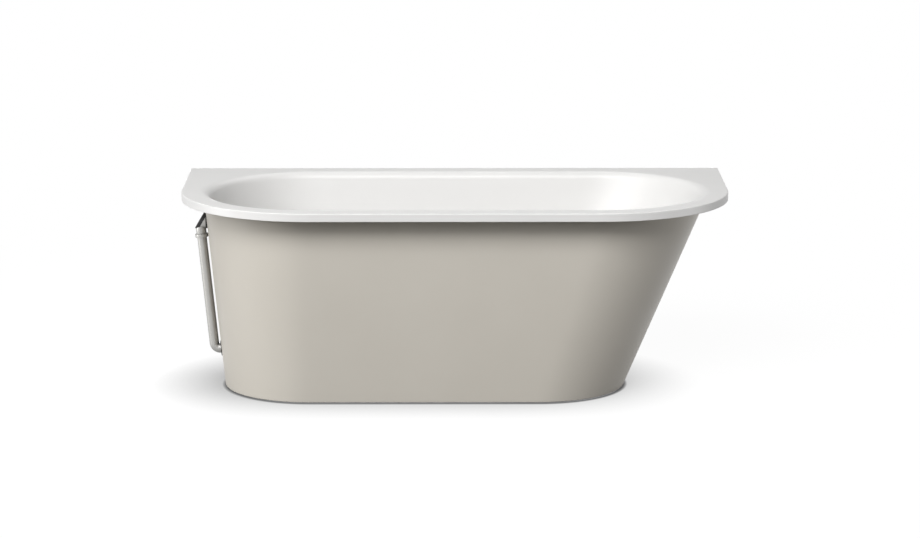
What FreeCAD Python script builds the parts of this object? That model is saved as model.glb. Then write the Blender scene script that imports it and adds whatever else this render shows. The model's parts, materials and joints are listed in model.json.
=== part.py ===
"""Back-to-wall bathtub with an exposed overflow pipe, in millimetres, +Z up.

The origin is on the floor under the middle of the rim. The drain end with the overflow pipe is at -X, the
sloped head end at +X, the open front at -Y and the wall at +Y.
"""
import FreeCAD
import Part
import math
import os
from dataclasses import dataclass

# Overall size of the bathtub
bath_length = 1600.0
bath_depth = 750.0
bath_height = 580.0

# Rim: a flat sheet with a lip turned down all round and two large front corners
rim_lip = 24.0
rim_corner_radius = 385.0
rim_edge_round = 3.0
rim_strip_drain = 82.0
rim_strip_head = 75.0
rim_strip_side = 72.0
shell_wall = 5.0

# Well: how far each wall leans in from the rim to the floor, and its roundings
well_lean_drain = 75.0
well_lean_head = 252.0
well_lean_side = 65.0
well_floor_height = 150.0
well_floor_radius = 90.0
lip_round = 24.0

# Skirt: an oval shell that tapers to a shadow gap over the floor
skirt_wall = 5.0
skirt_gap = 1.0
skirt_gap_drain = 6.0
skirt_gap_head = 6.5
skirt_lean_drain = 55.0
skirt_lean_head = 236.0
skirt_lean_side = 55.0
skirt_floor_gap = 4.0
skirt_flange_fit = 0.5
skirt_flange_round = 8.0

# Service opening in the rear of the skirt, measured along X from the drain
service_to_drain_end = 110.0
service_to_head_end = 210.0
service_height = 260.0
service_round = 40.0

# Rim battens between the rim sheet and the skirt's flange
batten_gap = 4.0
batten_end_margin = 80.0

# Board under the well's floor
board_thickness = 18.0
board_margin = 8.0
board_corner_share = 0.57
board_waste_gap = 8.0

# Channel frame under the board
channel_width = 40.0
channel_height = 30.0
channel_wall = 2.0
channel_bend = 3.0
rail_waste_gap = 45.0
rail_edge_margin = 5.0
rail_overhang_drain = 30.0
arm_end_margin = 35.0
tie_waste_gap = 48.0
arm_plate_thickness = 3.0
arm_plate_rise = 10.0

# Wooden blocks that hold the skirt on the arms
block_width = 70.0
block_height = 60.0
block_least_thickness = 12.0

# Wood screws: radius, head radius, head height and grip in the wood
screw_radius = 2.5
screw_head_radius = 5.5
screw_head_height = 3.0
screw_grip = 9.0
screw_hole_gap = 0.3
board_screw_shares = (0.08, 0.36, 0.64, 0.92)
block_screw_inset = 8.0

# Levelling feet
foot_stud_radius = 6.0
foot_stud_hole_gap = 1.0
foot_thread_fit = 0.1
foot_stud_over = 2.0
foot_nut_radius = 10.5
foot_nut_height = 8.0
foot_pad_radius = 25.0
foot_pad_edge = 6.0
foot_pad_height = 18.0
foot_pad_neck_radius = 12.0
foot_pad_sole = 5.0
foot_socket_fit = 0.15

# Waste fitting in the well's floor
drain_inset = 263.0
drain_hole_radius = 26.0
drain_recess_depth = 3.0
drain_recess_gap = 0.5
drain_boss_radius = 46.0
drain_boss_height = 4.0
waste_flange_radius = 35.0
waste_flange_thickness = 2.2
waste_gasket_top_thickness = 1.2
waste_gasket_bottom_thickness = 3.0
waste_tail_radius = 24.0
waste_tail_wall = 3.0
waste_tail_length = 36.0
waste_spider_drop = 26.0
waste_spider_height = 5.0
waste_spider_width = 4.0
waste_spider_arms = 3
waste_hub_radius = 9.0
waste_hub_height = 12.0
waste_body_flange_radius = 42.0
waste_body_flange_thickness = 6.0
waste_bowl_radius = 32.0
waste_bowl_depth = 44.0
waste_body_wall = 4.0
waste_thread_fit = 0.2
waste_neck_radius = 20.0
waste_neck_wall = 3.0

# Press plug, drawn raised
plug_cap_radius = 31.0
plug_cap_edge = 4.0
plug_cap_dome = 5.0
plug_seal_radius = 28.0
plug_seal_thickness = 3.0
plug_stem_radius = 5.0
plug_stem_length = 58.0
plug_stem_fit = 0.1
plug_seat_gap = 0.3
plug_lift = 9.0

# Low bottle trap that turns on the waste's neck
trap_radius = 38.0
trap_wall = 3.0
trap_cup_height = 20.0
trap_nut_gap = 2.0
trap_nut_height = 14.0
trap_nut_lip = 4.0
trap_nut_radius = 30.0
trap_collar_radius = 26.0
trap_collar_height = 7.0
trap_seal_height = 3.0
trap_ring_radius = 43.0
trap_ring_height = 16.0
trap_ring_overlap = 1.0
trap_turn_gap = 0.3
trap_seal_fit = 0.1
trap_outlet_radius = 20.0
trap_outlet_wall = 3.0
trap_outlet_length = 64.0
trap_shoulder_step = 1.0
trap_shoulder_length = 8.0
trap_outlet_clear = 0.5
trap_dip_gap = 7.0
thread_fit = 0.2

# Overflow: opening, housing on the skirt with a black cap, collar and bent pipe
overflow_drop = 90.0
overflow_hole_radius = 20.0
overflow_spacer_radius = 28.0
overflow_gasket_least = 1.0
housing_radius = 23.0
housing_wall = 3.0
housing_top_depth = 6.0
housing_bottom_depth = 33.0
housing_bridge_depth = 5.0
housing_bridge_width = 8.0
housing_hub_radius = 6.0
housing_cap_depth = 10.0
nozzle_radius = 15.0
nozzle_length = 43.0
nozzle_in_collar = 4.0
collar_radius = 19.0
collar_height = 10.0
collar_lip = 3.0
pipe_radius = 14.0
pipe_wall = 1.5
pipe_gap = 6.5
pipe_bend_radius = 17.5
pipe_low_height = 106.0
pipe_fit = 0.2
grommet_wall = 3.0
grommet_flange = 5.0
grommet_flange_thickness = 2.5
inlet_wall = 4.0
inlet_reach = 70.0
tee_nut_wall = 6.0
tee_nut_height = 16.0
tee_nut_lip = 4.0
tee_seal_height = 3.0

# Overflow rosette inside the well
rosette_radius = 35.0
rosette_rise = 9.0
rosette_wall = 2.5
rosette_edge_round = 3.0
rosette_hole_radius = 4.5
rosette_hole_circle = 20.0
rosette_holes = 8
overflow_screw_radius = 3.0
overflow_screw_head_radius = 7.0
overflow_screw_head_height = 2.5

# Wall brackets under the rim's rear edge
bracket_spacing = 900.0
bracket_width = 50.0
bracket_drop = 50.0
bracket_foot = 40.0
bracket_thickness = 3.0
bracket_bend = 3.0
bracket_hole_radius = 4.5
bracket_hole_drop = 31.0
bracket_screw_spacing = 30.0
bracket_screw_inset = 25.0

# One overrun and one depth serve the cuts, and one small tolerance every comparison of heights
overrun = 20.0
cut_through = 60.0
height_tolerance = 0.001
full_turn = 360.0
nut_sides = 6
grip_sides = 8

# Places worked out from the sizes above
half_length = bath_length / 2
half_depth = bath_depth / 2
rim_underside = bath_height - rim_lip
sheet_underside = bath_height - shell_wall
flange_top = rim_underside + skirt_wall
lip_outside_round = lip_round - shell_wall
floor_underside = well_floor_height - shell_wall
frame_top = floor_underside - board_thickness
X_AXIS = FreeCAD.Vector(1, 0, 0)
Y_AXIS = FreeCAD.Vector(0, 1, 0)
Z_AXIS = FreeCAD.Vector(0, 0, 1)


def vec(x, y, z):
    """A point or direction."""
    return FreeCAD.Vector(x, y, z)


@dataclass(frozen=True)
class Oval:
    """A level outline with straight sides and round ends; drain and head are its reach along -X and +X."""

    drain: float
    head: float
    half_width: float

    def grown(self, by):
        """The same oval, larger by an equal amount all round."""
        return Oval(self.drain + by, self.head + by, self.half_width + by)

    def wire(self, z):
        """The outline as two lines and two half circles at height z."""
        start = self.half_width - self.drain
        end = self.head - self.half_width
        side = self.half_width
        return Part.Wire([
            Part.LineSegment(vec(start, -side, z), vec(end, -side, z)).toShape(),
            Part.Arc(vec(end, -side, z), vec(self.head, 0, z), vec(end, side, z)).toShape(),
            Part.LineSegment(vec(end, side, z), vec(start, side, z)).toShape(),
            Part.Arc(vec(start, side, z), vec(-self.drain, 0, z), vec(start, -side, z)).toShape(),
        ])

    def side_at(self, x):
        """Half the width of the oval at a place along X."""
        start = self.half_width - self.drain
        end = self.head - self.half_width
        past = max(start - x, x - end, 0)
        return math.sqrt(self.half_width ** 2 - past ** 2)


@dataclass(frozen=True)
class Taper:
    """A body that runs straight from a low oval to a high one."""

    low: Oval
    high: Oval
    low_z: float
    high_z: float

    def grown(self, by):
        """The same taper, larger by an equal amount all round."""
        return Taper(self.low.grown(by), self.high.grown(by), self.low_z, self.high_z)

    def dropped(self, by):
        """The same taper, lower by an amount."""
        return Taper(self.low, self.high, self.low_z - by, self.high_z - by)

    def at(self, z):
        """The level outline at height z."""
        share = (z - self.low_z) / (self.high_z - self.low_z)
        return Oval(
            self.low.drain + share * (self.high.drain - self.low.drain),
            self.low.head + share * (self.high.head - self.low.head),
            self.low.half_width + share * (self.high.half_width - self.low.half_width),
        )

    def solid(self, low_z=None, high_z=None):
        """The body between two heights, which default to its own ends."""
        start = self.low_z if low_z is None else low_z
        end = self.high_z if high_z is None else high_z
        return Part.makeLoft([self.at(start).wire(start), self.at(end).wire(end)], True, True)

    def rounded_solid(self, radius):
        """The whole body with its lower edge rounded."""
        body = self.solid()
        return body.makeFillet(radius, level_edges(body, self.low_z))


def make_well():
    """The space for the water, from the floor of the well to the rim."""
    high = Oval(half_length - rim_strip_drain, half_length - rim_strip_head, half_depth - rim_strip_side)
    low = Oval(high.drain - well_lean_drain, high.head - well_lean_head, high.half_width - well_lean_side)
    return Taper(low, high, well_floor_height, bath_height)


def make_skirt_taper():
    """The outer face of the skirt, set off from the outside of the well."""
    inner = bowl.at(flange_top)
    flare_height = max(flange_top - sheet_underside + lip_outside_round, 0)
    flare = lip_outside_round - math.sqrt(lip_outside_round ** 2 - flare_height ** 2)
    side = flare + skirt_gap + skirt_wall
    drain, head = inner.drain + side + skirt_gap_drain, inner.head + side + skirt_gap_head
    high = Oval(drain, head, inner.half_width + side)
    low = Oval(high.drain - skirt_lean_drain, high.head - skirt_lean_head, high.half_width - skirt_lean_side)
    return Taper(low, high, skirt_floor_gap, flange_top)


def level_edges(shape, z, accept=lambda box: True):
    """Edges that lie wholly at height z and whose bounding box is accepted."""
    boxes = [(edge, edge.BoundBox) for edge in shape.Edges]
    return [
        edge for edge, box in boxes
        if abs(box.ZMin - z) < height_tolerance and abs(box.ZMax - z) < height_tolerance and accept(box)
    ]


def inside_rim(box):
    """Whether a bounding box stays within the middle of the rim's flat strip."""
    reach_x = half_length - min(rim_strip_drain, rim_strip_head) / 2
    reach_y = half_depth - rim_strip_side / 2
    return box.XMin > -reach_x and box.XMax < reach_x and box.YMin > -reach_y and box.YMax < reach_y


def on_rim_edge(box):
    """Whether a bounding box reaches past the middle of the rim's flat strip."""
    return not inside_rim(box)


def box_between(low, high):
    """A box from its low corner to its high corner."""
    size = high - low
    return Part.makeBox(size.x, size.y, size.z, low)


def cylinder(radius, start, direction, length):
    """A round bar from a point along a direction."""
    return Part.makeCylinder(radius, length, start, direction)


def ring(outer, inner, start, direction, length):
    """A round bar with a bore right through it."""
    unit = vec(direction.x, direction.y, direction.z).normalize()
    bore = cylinder(inner, start - unit * overrun, unit, length + overrun + overrun)
    return cylinder(outer, start, unit, length).cut(bore)


def prism(sides, across, start, direction, length):
    """A bar with flat sides, whose corners lie on a circle of the given radius."""
    corners = [
        vec(across * math.cos(math.tau * step / sides), across * math.sin(math.tau * step / sides), 0)
        for step in range(sides)
    ]
    face = Part.Face(Part.makePolygon(corners + corners[:1]))
    body = face.extrude(vec(0, 0, length))
    body.Placement = FreeCAD.Placement(start, FreeCAD.Rotation(Z_AXIS, direction))
    return body


def turned(profile, start=vec(0, 0, 0), direction=Z_AXIS):
    """A solid of revolution from radius and height pairs, set at a point along a direction."""
    points = [vec(radius, 0, height) for radius, height in profile]
    face = Part.Face(Part.makePolygon(points + points[:1]))
    body = face.revolve(vec(0, 0, 0), Z_AXIS, full_turn)
    body.Placement = FreeCAD.Placement(start, FreeCAD.Rotation(Z_AXIS, direction))
    return body


def union_nut(outer, thread, bore, lip, start, direction, length):
    """A flat-sided nut with a wide bore that ends in a lip round a pipe."""
    body = prism(grip_sides, outer, start, direction, length)
    unit = vec(direction.x, direction.y, direction.z).normalize()
    wide = cylinder(thread, start - unit * overrun, unit, length - lip + overrun)
    narrow = cylinder(bore, start - unit * overrun, unit, length + overrun + overrun)
    return body.cut(wide).cut(narrow)


def wood_screw(seat, direction, through):
    """A screw whose head sits on a seat and whose shank runs through a sheet into wood."""
    head = cylinder(screw_head_radius, seat, direction * -1, screw_head_height)
    return head.fuse(cylinder(screw_radius, seat, direction, through + screw_grip))


def clearance_hole(seat, direction, through):
    """The hole for a screw through the sheet that its head sits on."""
    start = seat - direction * overrun
    return cylinder(screw_radius + screw_hole_gap, start, direction, overrun + through)


def pilot_hole(seat, direction, through):
    """The hole for a screw's shank in wood."""
    return cylinder(screw_radius, seat, direction, through + screw_grip)


def rim_wire(inset, z):
    """The rim's outline, set in by an amount: square at the wall, two large corners in front."""
    reach = half_length - inset
    front = inset - half_depth
    rear = half_depth - inset
    radius = rim_corner_radius - inset
    cut = radius - radius * math.sqrt(0.5)
    return Part.Wire([
        Part.LineSegment(vec(-reach, rear, z), vec(-reach, front + radius, z)).toShape(),
        Part.Arc(vec(-reach, front + radius, z), vec(cut - reach, front + cut, z),
                 vec(radius - reach, front, z)).toShape(),
        Part.LineSegment(vec(radius - reach, front, z), vec(reach - radius, front, z)).toShape(),
        Part.Arc(vec(reach - radius, front, z), vec(reach - cut, front + cut, z),
                 vec(reach, front + radius, z)).toShape(),
        Part.LineSegment(vec(reach, front + radius, z), vec(reach, rear, z)).toShape(),
        Part.LineSegment(vec(reach, rear, z), vec(-reach, rear, z)).toShape(),
    ])


def rim_plate(inset, low_z, high_z):
    """A plate with the rim's outline between two heights."""
    return Part.Face(rim_wire(inset, low_z)).extrude(vec(0, 0, high_z - low_z))


well = make_well()
bowl = well.grown(shell_wall).dropped(shell_wall)
skirt_outer = make_skirt_taper()
skirt_inner = skirt_outer.grown(-skirt_wall)

# Places of the waste and the overflow
overflow_z = bath_height - overflow_drop
drain_x = drain_inset - well.low.drain
boss_underside = floor_underside - drain_boss_height
waste_gasket_underside = boss_underside - waste_gasket_bottom_thickness
waste_flange_seat = well_floor_height - drain_recess_depth + waste_gasket_top_thickness
waste_flange_top = waste_flange_seat + waste_flange_thickness
waste_body_seat = waste_gasket_underside - waste_body_flange_thickness
waste_bowl_bottom = waste_body_seat - waste_bowl_depth
trap_top = waste_bowl_bottom - trap_nut_gap - trap_nut_height
trap_shoulder_radius = trap_outlet_radius + trap_shoulder_step
trap_shoulder_reach = trap_radius + trap_shoulder_length
trap_outlet_z = trap_top - trap_outlet_clear - trap_shoulder_radius
trap_cup_seat = trap_outlet_z - trap_shoulder_radius - trap_outlet_clear - trap_ring_overlap
trap_bottom = trap_cup_seat - trap_cup_height
waste_neck_bottom = trap_bottom + trap_wall + trap_dip_gap
pipe_tilt = math.atan2(skirt_lean_drain, skirt_outer.high_z - skirt_outer.low_z)
pipe_down = vec(math.sin(pipe_tilt), 0, -math.cos(pipe_tilt))
overflow_centre = vec(-skirt_outer.at(overflow_z).drain, 0, overflow_z)
rosette_tilt = math.atan2(well_lean_drain, bath_height - well_floor_height)
rosette_axis = vec(math.cos(rosette_tilt), 0, math.sin(rosette_tilt))
rosette_centre = vec(-well.at(overflow_z).drain, 0, overflow_z)
housing_face = -skirt_outer.at(overflow_z + housing_radius).drain - overflow_gasket_least

# Places of the frame
board_drain_end = well_floor_radius + board_margin - well.low.drain
board_head_end = well.low.head - well_floor_radius - board_margin
rail_y = waste_bowl_radius + rail_waste_gap + channel_width / 2
rail_outside = rail_y + channel_width / 2
board_half_width = rail_outside + rail_edge_margin
rail_start = board_drain_end - rail_overhang_drain
rail_end = board_head_end
rail_length = rail_end - rail_start
frame_bottom = frame_top - channel_height
arm_places = (rail_start + arm_end_margin, rail_end - arm_end_margin)
tie_drain_x = drain_x + waste_bowl_radius + tie_waste_gap + channel_width / 2
tie_head_x = (tie_drain_x + arm_places[1]) / 2
block_bottom = frame_top - channel_height / 2 - block_height / 2


def pipe_axis(z):
    """The point of the overflow pipe's sloped axis at height z."""
    reach = skirt_outer.at(z).drain + pipe_gap + pipe_radius / math.cos(pipe_tilt)
    return vec(-reach, 0, z)


def basin():
    """Well and rim, one formed shell with a rounded lip, a boss at the drain and an overflow hole."""
    shell = rim_plate(0, rim_underside, bath_height).cut(
        rim_plate(shell_wall, rim_underside - overrun, sheet_underside))
    shell = shell.fuse(bowl.rounded_solid(well_floor_radius + shell_wall)).removeSplitter()
    shell = shell.makeFillet(lip_outside_round, level_edges(shell, sheet_underside, inside_rim))
    drain = vec(drain_x, 0, boss_underside)
    shell = shell.fuse(cylinder(drain_boss_radius, drain, Z_AXIS, drain_boss_height + shell_wall / 2))
    shell = shell.cut(well.rounded_solid(well_floor_radius)).removeSplitter()
    shell = shell.makeFillet(lip_round, level_edges(shell, bath_height, inside_rim))
    shell = shell.makeFillet(rim_edge_round, level_edges(shell, bath_height, on_rim_edge))
    recess_start = vec(drain_x, 0, well_floor_height - drain_recess_depth)
    recess_radius = waste_flange_radius + drain_recess_gap
    recess = cylinder(recess_radius, recess_start, Z_AXIS, drain_recess_depth + overrun)
    hole = cylinder(drain_hole_radius, drain - Z_AXIS * overrun, Z_AXIS, well_floor_height)
    return shell.cut(recess).cut(hole).cut(overflow_hole())


def overflow_hole():
    """The round way for overflow water through both shells."""
    start = overflow_centre - X_AXIS * overrun
    return cylinder(overflow_hole_radius, start, X_AXIS, cut_through)


def service_cut():
    """The doorway in the rear of the skirt, open at the floor and round at its upper corners."""
    start = drain_x - service_to_drain_end
    end = drain_x + service_to_head_end
    cut = service_round - service_round * math.sqrt(0.5)
    low = -overrun
    top = service_height
    rear = skirt_outer.low.half_width / 2
    outline = Part.Wire([
        Part.LineSegment(vec(start, rear, low), vec(start, rear, top - service_round)).toShape(),
        Part.Arc(vec(start, rear, top - service_round), vec(start + cut, rear, top - cut),
                 vec(start + service_round, rear, top)).toShape(),
        Part.LineSegment(vec(start + service_round, rear, top),
                         vec(end - service_round, rear, top)).toShape(),
        Part.Arc(vec(end - service_round, rear, top), vec(end - cut, rear, top - cut),
                 vec(end, rear, top - service_round)).toShape(),
        Part.LineSegment(vec(end, rear, top - service_round), vec(end, rear, low)).toShape(),
        Part.LineSegment(vec(end, rear, low), vec(start, rear, low)).toShape(),
    ])
    return Part.Face(outline).extrude(vec(0, half_depth, 0))


def skirt():
    """Tapered oval shell with a flange under the rim, a service opening and two pipe holes."""
    flange = rim_plate(shell_wall + skirt_flange_fit, rim_underside, flange_top)
    shell = skirt_outer.solid().fuse(flange).removeSplitter()
    shell = shell.makeFillet(skirt_flange_round, level_edges(shell, rim_underside, inside_rim))
    shell = shell.cut(skirt_inner.solid()).cut(service_cut()).cut(overflow_hole())
    pipe_hole = cylinder(pipe_radius + grommet_wall, pipe_axis(pipe_low_height), X_AXIS, cut_through)
    for seat in bracket_screw_seats():
        shell = shell.cut(clearance_hole(seat, Z_AXIS, bracket_thickness + skirt_wall))
    return shell.cut(pipe_hole)


def floor_board():
    """Board under the well's floor, cut out round the waste and its inlet, with holes for the rail screws."""
    low = vec(board_drain_end, -board_half_width, frame_top)
    board = box_between(low, vec(board_head_end, board_half_width, floor_underside))
    upright = [edge for edge in board.Edges if edge.BoundBox.ZLength > board_thickness / 2]
    board = board.makeFillet(board_half_width * board_corner_share, upright)
    start = vec(drain_x, 0, frame_top - overrun)
    height = board_thickness + overrun + overrun
    board = board.cut(cylinder(drain_boss_radius + board_waste_gap, start, Z_AXIS, height))
    nut_side = pipe_radius + pipe_fit + inlet_wall + tee_nut_wall + board_waste_gap
    nut_end = drain_x - inlet_reach - tee_nut_height
    board = board.cut(box_between(vec(nut_end, -nut_side, start.z), vec(drain_x, nut_side, start.z + height)))
    for seat in board_screw_seats():
        board = board.cut(pilot_hole(seat, Z_AXIS, channel_wall))
    return board


def rim_batten(side):
    """A strip of wood inside the rim: side is -1 in front and 1 at the wall."""
    near = well.high.half_width + shell_wall + lip_outside_round + batten_gap
    far = half_depth - shell_wall - skirt_flange_fit
    reach = half_length - rim_corner_radius
    if side > 0:
        reach = half_length - shell_wall - batten_end_margin
    low_y, high_y = sorted((side * near, side * far))
    batten = box_between(vec(-reach, low_y, flange_top), vec(reach, high_y, sheet_underside))
    if side > 0:
        for seat in bracket_screw_seats():
            batten = batten.cut(pilot_hole(seat, Z_AXIS, bracket_thickness + skirt_wall))
    return batten


def channel(low, high, along):
    """A pressed channel, open below, that fills a box along X or Y."""
    body = box_between(low, high)
    across = Y_AXIS if along == X_AXIS else X_AXIS
    long_edges = [
        edge for edge in level_edges(body, high.z)
        if edge.tangentAt(edge.FirstParameter).cross(along).Length < height_tolerance
    ]
    body = body.makeFillet(channel_bend, long_edges)
    hollow_low = low + across * channel_wall - along * overrun - Z_AXIS * overrun
    hollow_high = high - across * channel_wall + along * overrun - Z_AXIS * channel_wall
    return body.cut(box_between(hollow_low, hollow_high))


def rail(side):
    """A lengthwise channel under the board: side is -1 in front and 1 at the rear."""
    middle = side * rail_y
    low = vec(rail_start, middle - channel_width / 2, frame_bottom)
    body = channel(low, vec(rail_end, middle + channel_width / 2, frame_top), X_AXIS)
    for seat in board_screw_seats():
        body = body.cut(clearance_hole(seat, Z_AXIS, channel_wall))
    return body


def tie(middle):
    """A cross channel between the rails, at a place along X."""
    inner = rail_y - channel_width / 2
    low = vec(middle - channel_width / 2, -inner, frame_bottom)
    return channel(low, vec(middle + channel_width / 2, inner, frame_top), Y_AXIS)


def arm_plate_outside(x):
    """Distance from the middle to the outside of an arm's end plate, short of the skirt by the block."""
    far = x - block_width / 2 if x < 0 else x + block_width / 2
    return skirt_inner.at(block_bottom).side_at(far) - block_least_thickness


def foot_y(x):
    """Distance from the middle to the feet at a place along X, halfway along the arms there."""
    return (rail_outside + arm_plate_outside(x) - arm_plate_thickness) / 2


def arm(x, side):
    """A channel from a rail to its skirt block, with an end plate and a hole for the foot."""
    end = arm_plate_outside(x)
    low_y, high_y = sorted((side * rail_outside, side * (end - arm_plate_thickness)))
    low = vec(x - channel_width / 2, low_y, frame_bottom)
    body = channel(low, vec(x + channel_width / 2, high_y, frame_top), Y_AXIS)
    plate_y, outside_y = sorted((side * (end - arm_plate_thickness), side * end))
    plate_low = vec(x - block_width / 2, plate_y, frame_bottom)
    plate_high = vec(x + block_width / 2, outside_y, frame_top + arm_plate_rise)
    body = body.fuse(box_between(plate_low, plate_high))
    hole_start = vec(x, side * foot_y(x), frame_bottom)
    hole_radius = foot_stud_radius + foot_stud_hole_gap
    body = body.cut(cylinder(hole_radius, hole_start, Z_AXIS, channel_height + overrun))
    for seat in block_screw_seats(x, side):
        body = body.cut(clearance_hole(seat, Y_AXIS * side, arm_plate_thickness))
    return body


def skirt_block(x, side):
    """A block between an arm's end plate and the skirt, shaped to the skirt's inside."""
    start = arm_plate_outside(x)
    low_y, high_y = sorted((side * start, side * half_depth))
    low = vec(x - block_width / 2, low_y, block_bottom)
    block = box_between(low, vec(x + block_width / 2, high_y, block_bottom + block_height))
    block = block.common(skirt_inner.solid())
    for seat in block_screw_seats(x, side):
        block = block.cut(pilot_hole(seat, Y_AXIS * side, arm_plate_thickness))
    return block


def board_screw_seats():
    """Where the heads of the board screws sit under the webs of the rails."""
    return [
        vec(rail_start + share * rail_length, side * rail_y, frame_top - channel_wall)
        for side in (-1, 1) for share in board_screw_shares
    ]


def block_screw_seats(x, side):
    """Where the heads of the two block screws sit on an arm's end plate."""
    reach = block_width / 2 - block_screw_inset
    seat_y = side * (arm_plate_outside(x) - arm_plate_thickness)
    return [vec(x + step * reach, seat_y, frame_top - channel_height / 2) for step in (-1, 1)]


def bracket_screw_seats():
    """Where the heads of the bracket screws sit under the wall brackets."""
    seat_y = half_depth - bracket_screw_inset
    seat_z = rim_underside - bracket_thickness
    return [
        vec(side * bracket_spacing / 2 + step * bracket_screw_spacing / 2, seat_y, seat_z)
        for side in (-1, 1) for step in (-1, 1)
    ]


def board_screws():
    """Screws that hold the rails on the board."""
    return Part.makeCompound([wood_screw(seat, Z_AXIS, channel_wall) for seat in board_screw_seats()])


def block_screws():
    """Screws that hold the skirt blocks on the arms."""
    return Part.makeCompound([
        wood_screw(seat, Y_AXIS * side, arm_plate_thickness)
        for x in arm_places for side in (-1, 1) for seat in block_screw_seats(x, side)
    ])


def bracket_screws():
    """Screws that hold the wall brackets on the rear batten."""
    through = bracket_thickness + skirt_wall
    return Part.makeCompound([wood_screw(seat, Z_AXIS, through) for seat in bracket_screw_seats()])


def foot_nuts(seat_z):
    """One nut on each foot stud, standing on a height."""
    bore_radius = foot_stud_radius + foot_thread_fit
    nuts = []
    for x in arm_places:
        for side in (-1, 1):
            start = vec(x, side * foot_y(x), seat_z)
            nut = prism(nut_sides, foot_nut_radius, start, Z_AXIS, foot_nut_height)
            nuts.append(nut.cut(cylinder(bore_radius, start - Z_AXIS * overrun, Z_AXIS, cut_through)))
    return Part.makeCompound(nuts)


def foot_pad(x, side):
    """A round foot that tapers to a neck, with a blind socket for its stud."""
    socket = foot_stud_radius + foot_socket_fit
    profile = [
        (0, 0), (foot_pad_radius, 0), (foot_pad_radius, foot_pad_edge),
        (foot_pad_neck_radius, foot_pad_height), (socket, foot_pad_height), (socket, foot_pad_sole),
        (0, foot_pad_sole),
    ]
    return turned(profile, vec(x, side * foot_y(x), 0))


def foot_stud(x, side):
    """A threaded rod from the socket of a foot to just over its upper nut."""
    top = frame_top + foot_nut_height + foot_stud_over
    return cylinder(foot_stud_radius, vec(x, side * foot_y(x), foot_pad_sole), Z_AXIS, top - foot_pad_sole)


def waste_flange():
    """Flange in the well's floor with a threaded tail and a spider that guides the plug."""
    axis = vec(drain_x, 0, 0)
    inner = waste_tail_radius - waste_tail_wall
    face_radius = waste_flange_radius - waste_flange_thickness
    tail_bottom = waste_flange_seat - waste_tail_length
    body = turned([
        (inner, tail_bottom), (waste_tail_radius, tail_bottom), (waste_tail_radius, waste_flange_seat),
        (waste_flange_radius, waste_flange_seat), (face_radius, waste_flange_top), (inner, waste_flange_top),
    ], axis)
    spider_z = waste_flange_top - waste_spider_drop
    hub_z = spider_z - (waste_hub_height - waste_spider_height) / 2
    body = body.fuse(cylinder(waste_hub_radius, vec(drain_x, 0, hub_z), Z_AXIS, waste_hub_height))
    reach = waste_tail_radius - waste_tail_wall / 2
    for step in range(waste_spider_arms):
        bar = box_between(vec(0, -waste_spider_width / 2, spider_z),
                          vec(reach, waste_spider_width / 2, spider_z + waste_spider_height))
        bar.rotate(vec(0, 0, 0), Z_AXIS, full_turn * step / waste_spider_arms)
        bar.translate(axis)
        body = body.fuse(bar)
    guide_radius = plug_stem_radius + plug_stem_fit
    return body.cut(cylinder(guide_radius, vec(drain_x, 0, hub_z - overrun), Z_AXIS, cut_through))


def waste_gasket_top():
    """Thin ring between the waste flange and the recess in the well's floor."""
    start = vec(drain_x, 0, well_floor_height - drain_recess_depth)
    return ring(waste_flange_radius, drain_hole_radius, start, Z_AXIS, waste_gasket_top_thickness)


def waste_gasket_bottom():
    """Thick ring between the boss under the floor and the waste body."""
    start = vec(drain_x, 0, waste_gasket_underside)
    return ring(waste_body_flange_radius, drain_hole_radius, start, Z_AXIS, waste_gasket_bottom_thickness)


def waste_body():
    """Bowl under the drain with a flange, a long neck into the trap and a side inlet for the overflow."""
    outside = turned([
        (0, waste_neck_bottom), (waste_neck_radius, waste_neck_bottom),
        (waste_neck_radius, waste_bowl_bottom), (waste_bowl_radius, waste_bowl_bottom),
        (waste_bowl_radius, waste_body_seat),
        (waste_body_flange_radius, waste_body_seat), (waste_body_flange_radius, waste_gasket_underside),
        (0, waste_gasket_underside),
    ], vec(drain_x, 0, 0))
    inlet_radius = pipe_radius + pipe_fit + inlet_wall
    inlet_start = vec(drain_x, 0, pipe_low_height)
    outside = outside.fuse(cylinder(inlet_radius, inlet_start, X_AXIS * -1, inlet_reach))
    neck_bore = waste_neck_radius - waste_neck_wall
    bowl_bore = waste_bowl_radius - waste_body_wall
    tail_bore = waste_tail_radius + waste_thread_fit
    floor_z = waste_bowl_bottom + waste_body_wall
    low_z = waste_neck_bottom - overrun
    high_z = waste_gasket_underside + overrun
    inside = turned([
        (0, low_z), (neck_bore, low_z), (neck_bore, floor_z), (bowl_bore, floor_z),
        (bowl_bore, waste_body_seat), (tail_bore, waste_body_seat), (tail_bore, high_z), (0, high_z),
    ], vec(drain_x, 0, 0))
    inside = inside.fuse(cylinder(pipe_radius + pipe_fit, inlet_start, X_AXIS * -1, inlet_reach + overrun))
    return outside.cut(inside)


plug_seal_underside = waste_flange_top + plug_seat_gap + plug_lift
plug_cap_underside = plug_seal_underside + plug_seal_thickness


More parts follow.
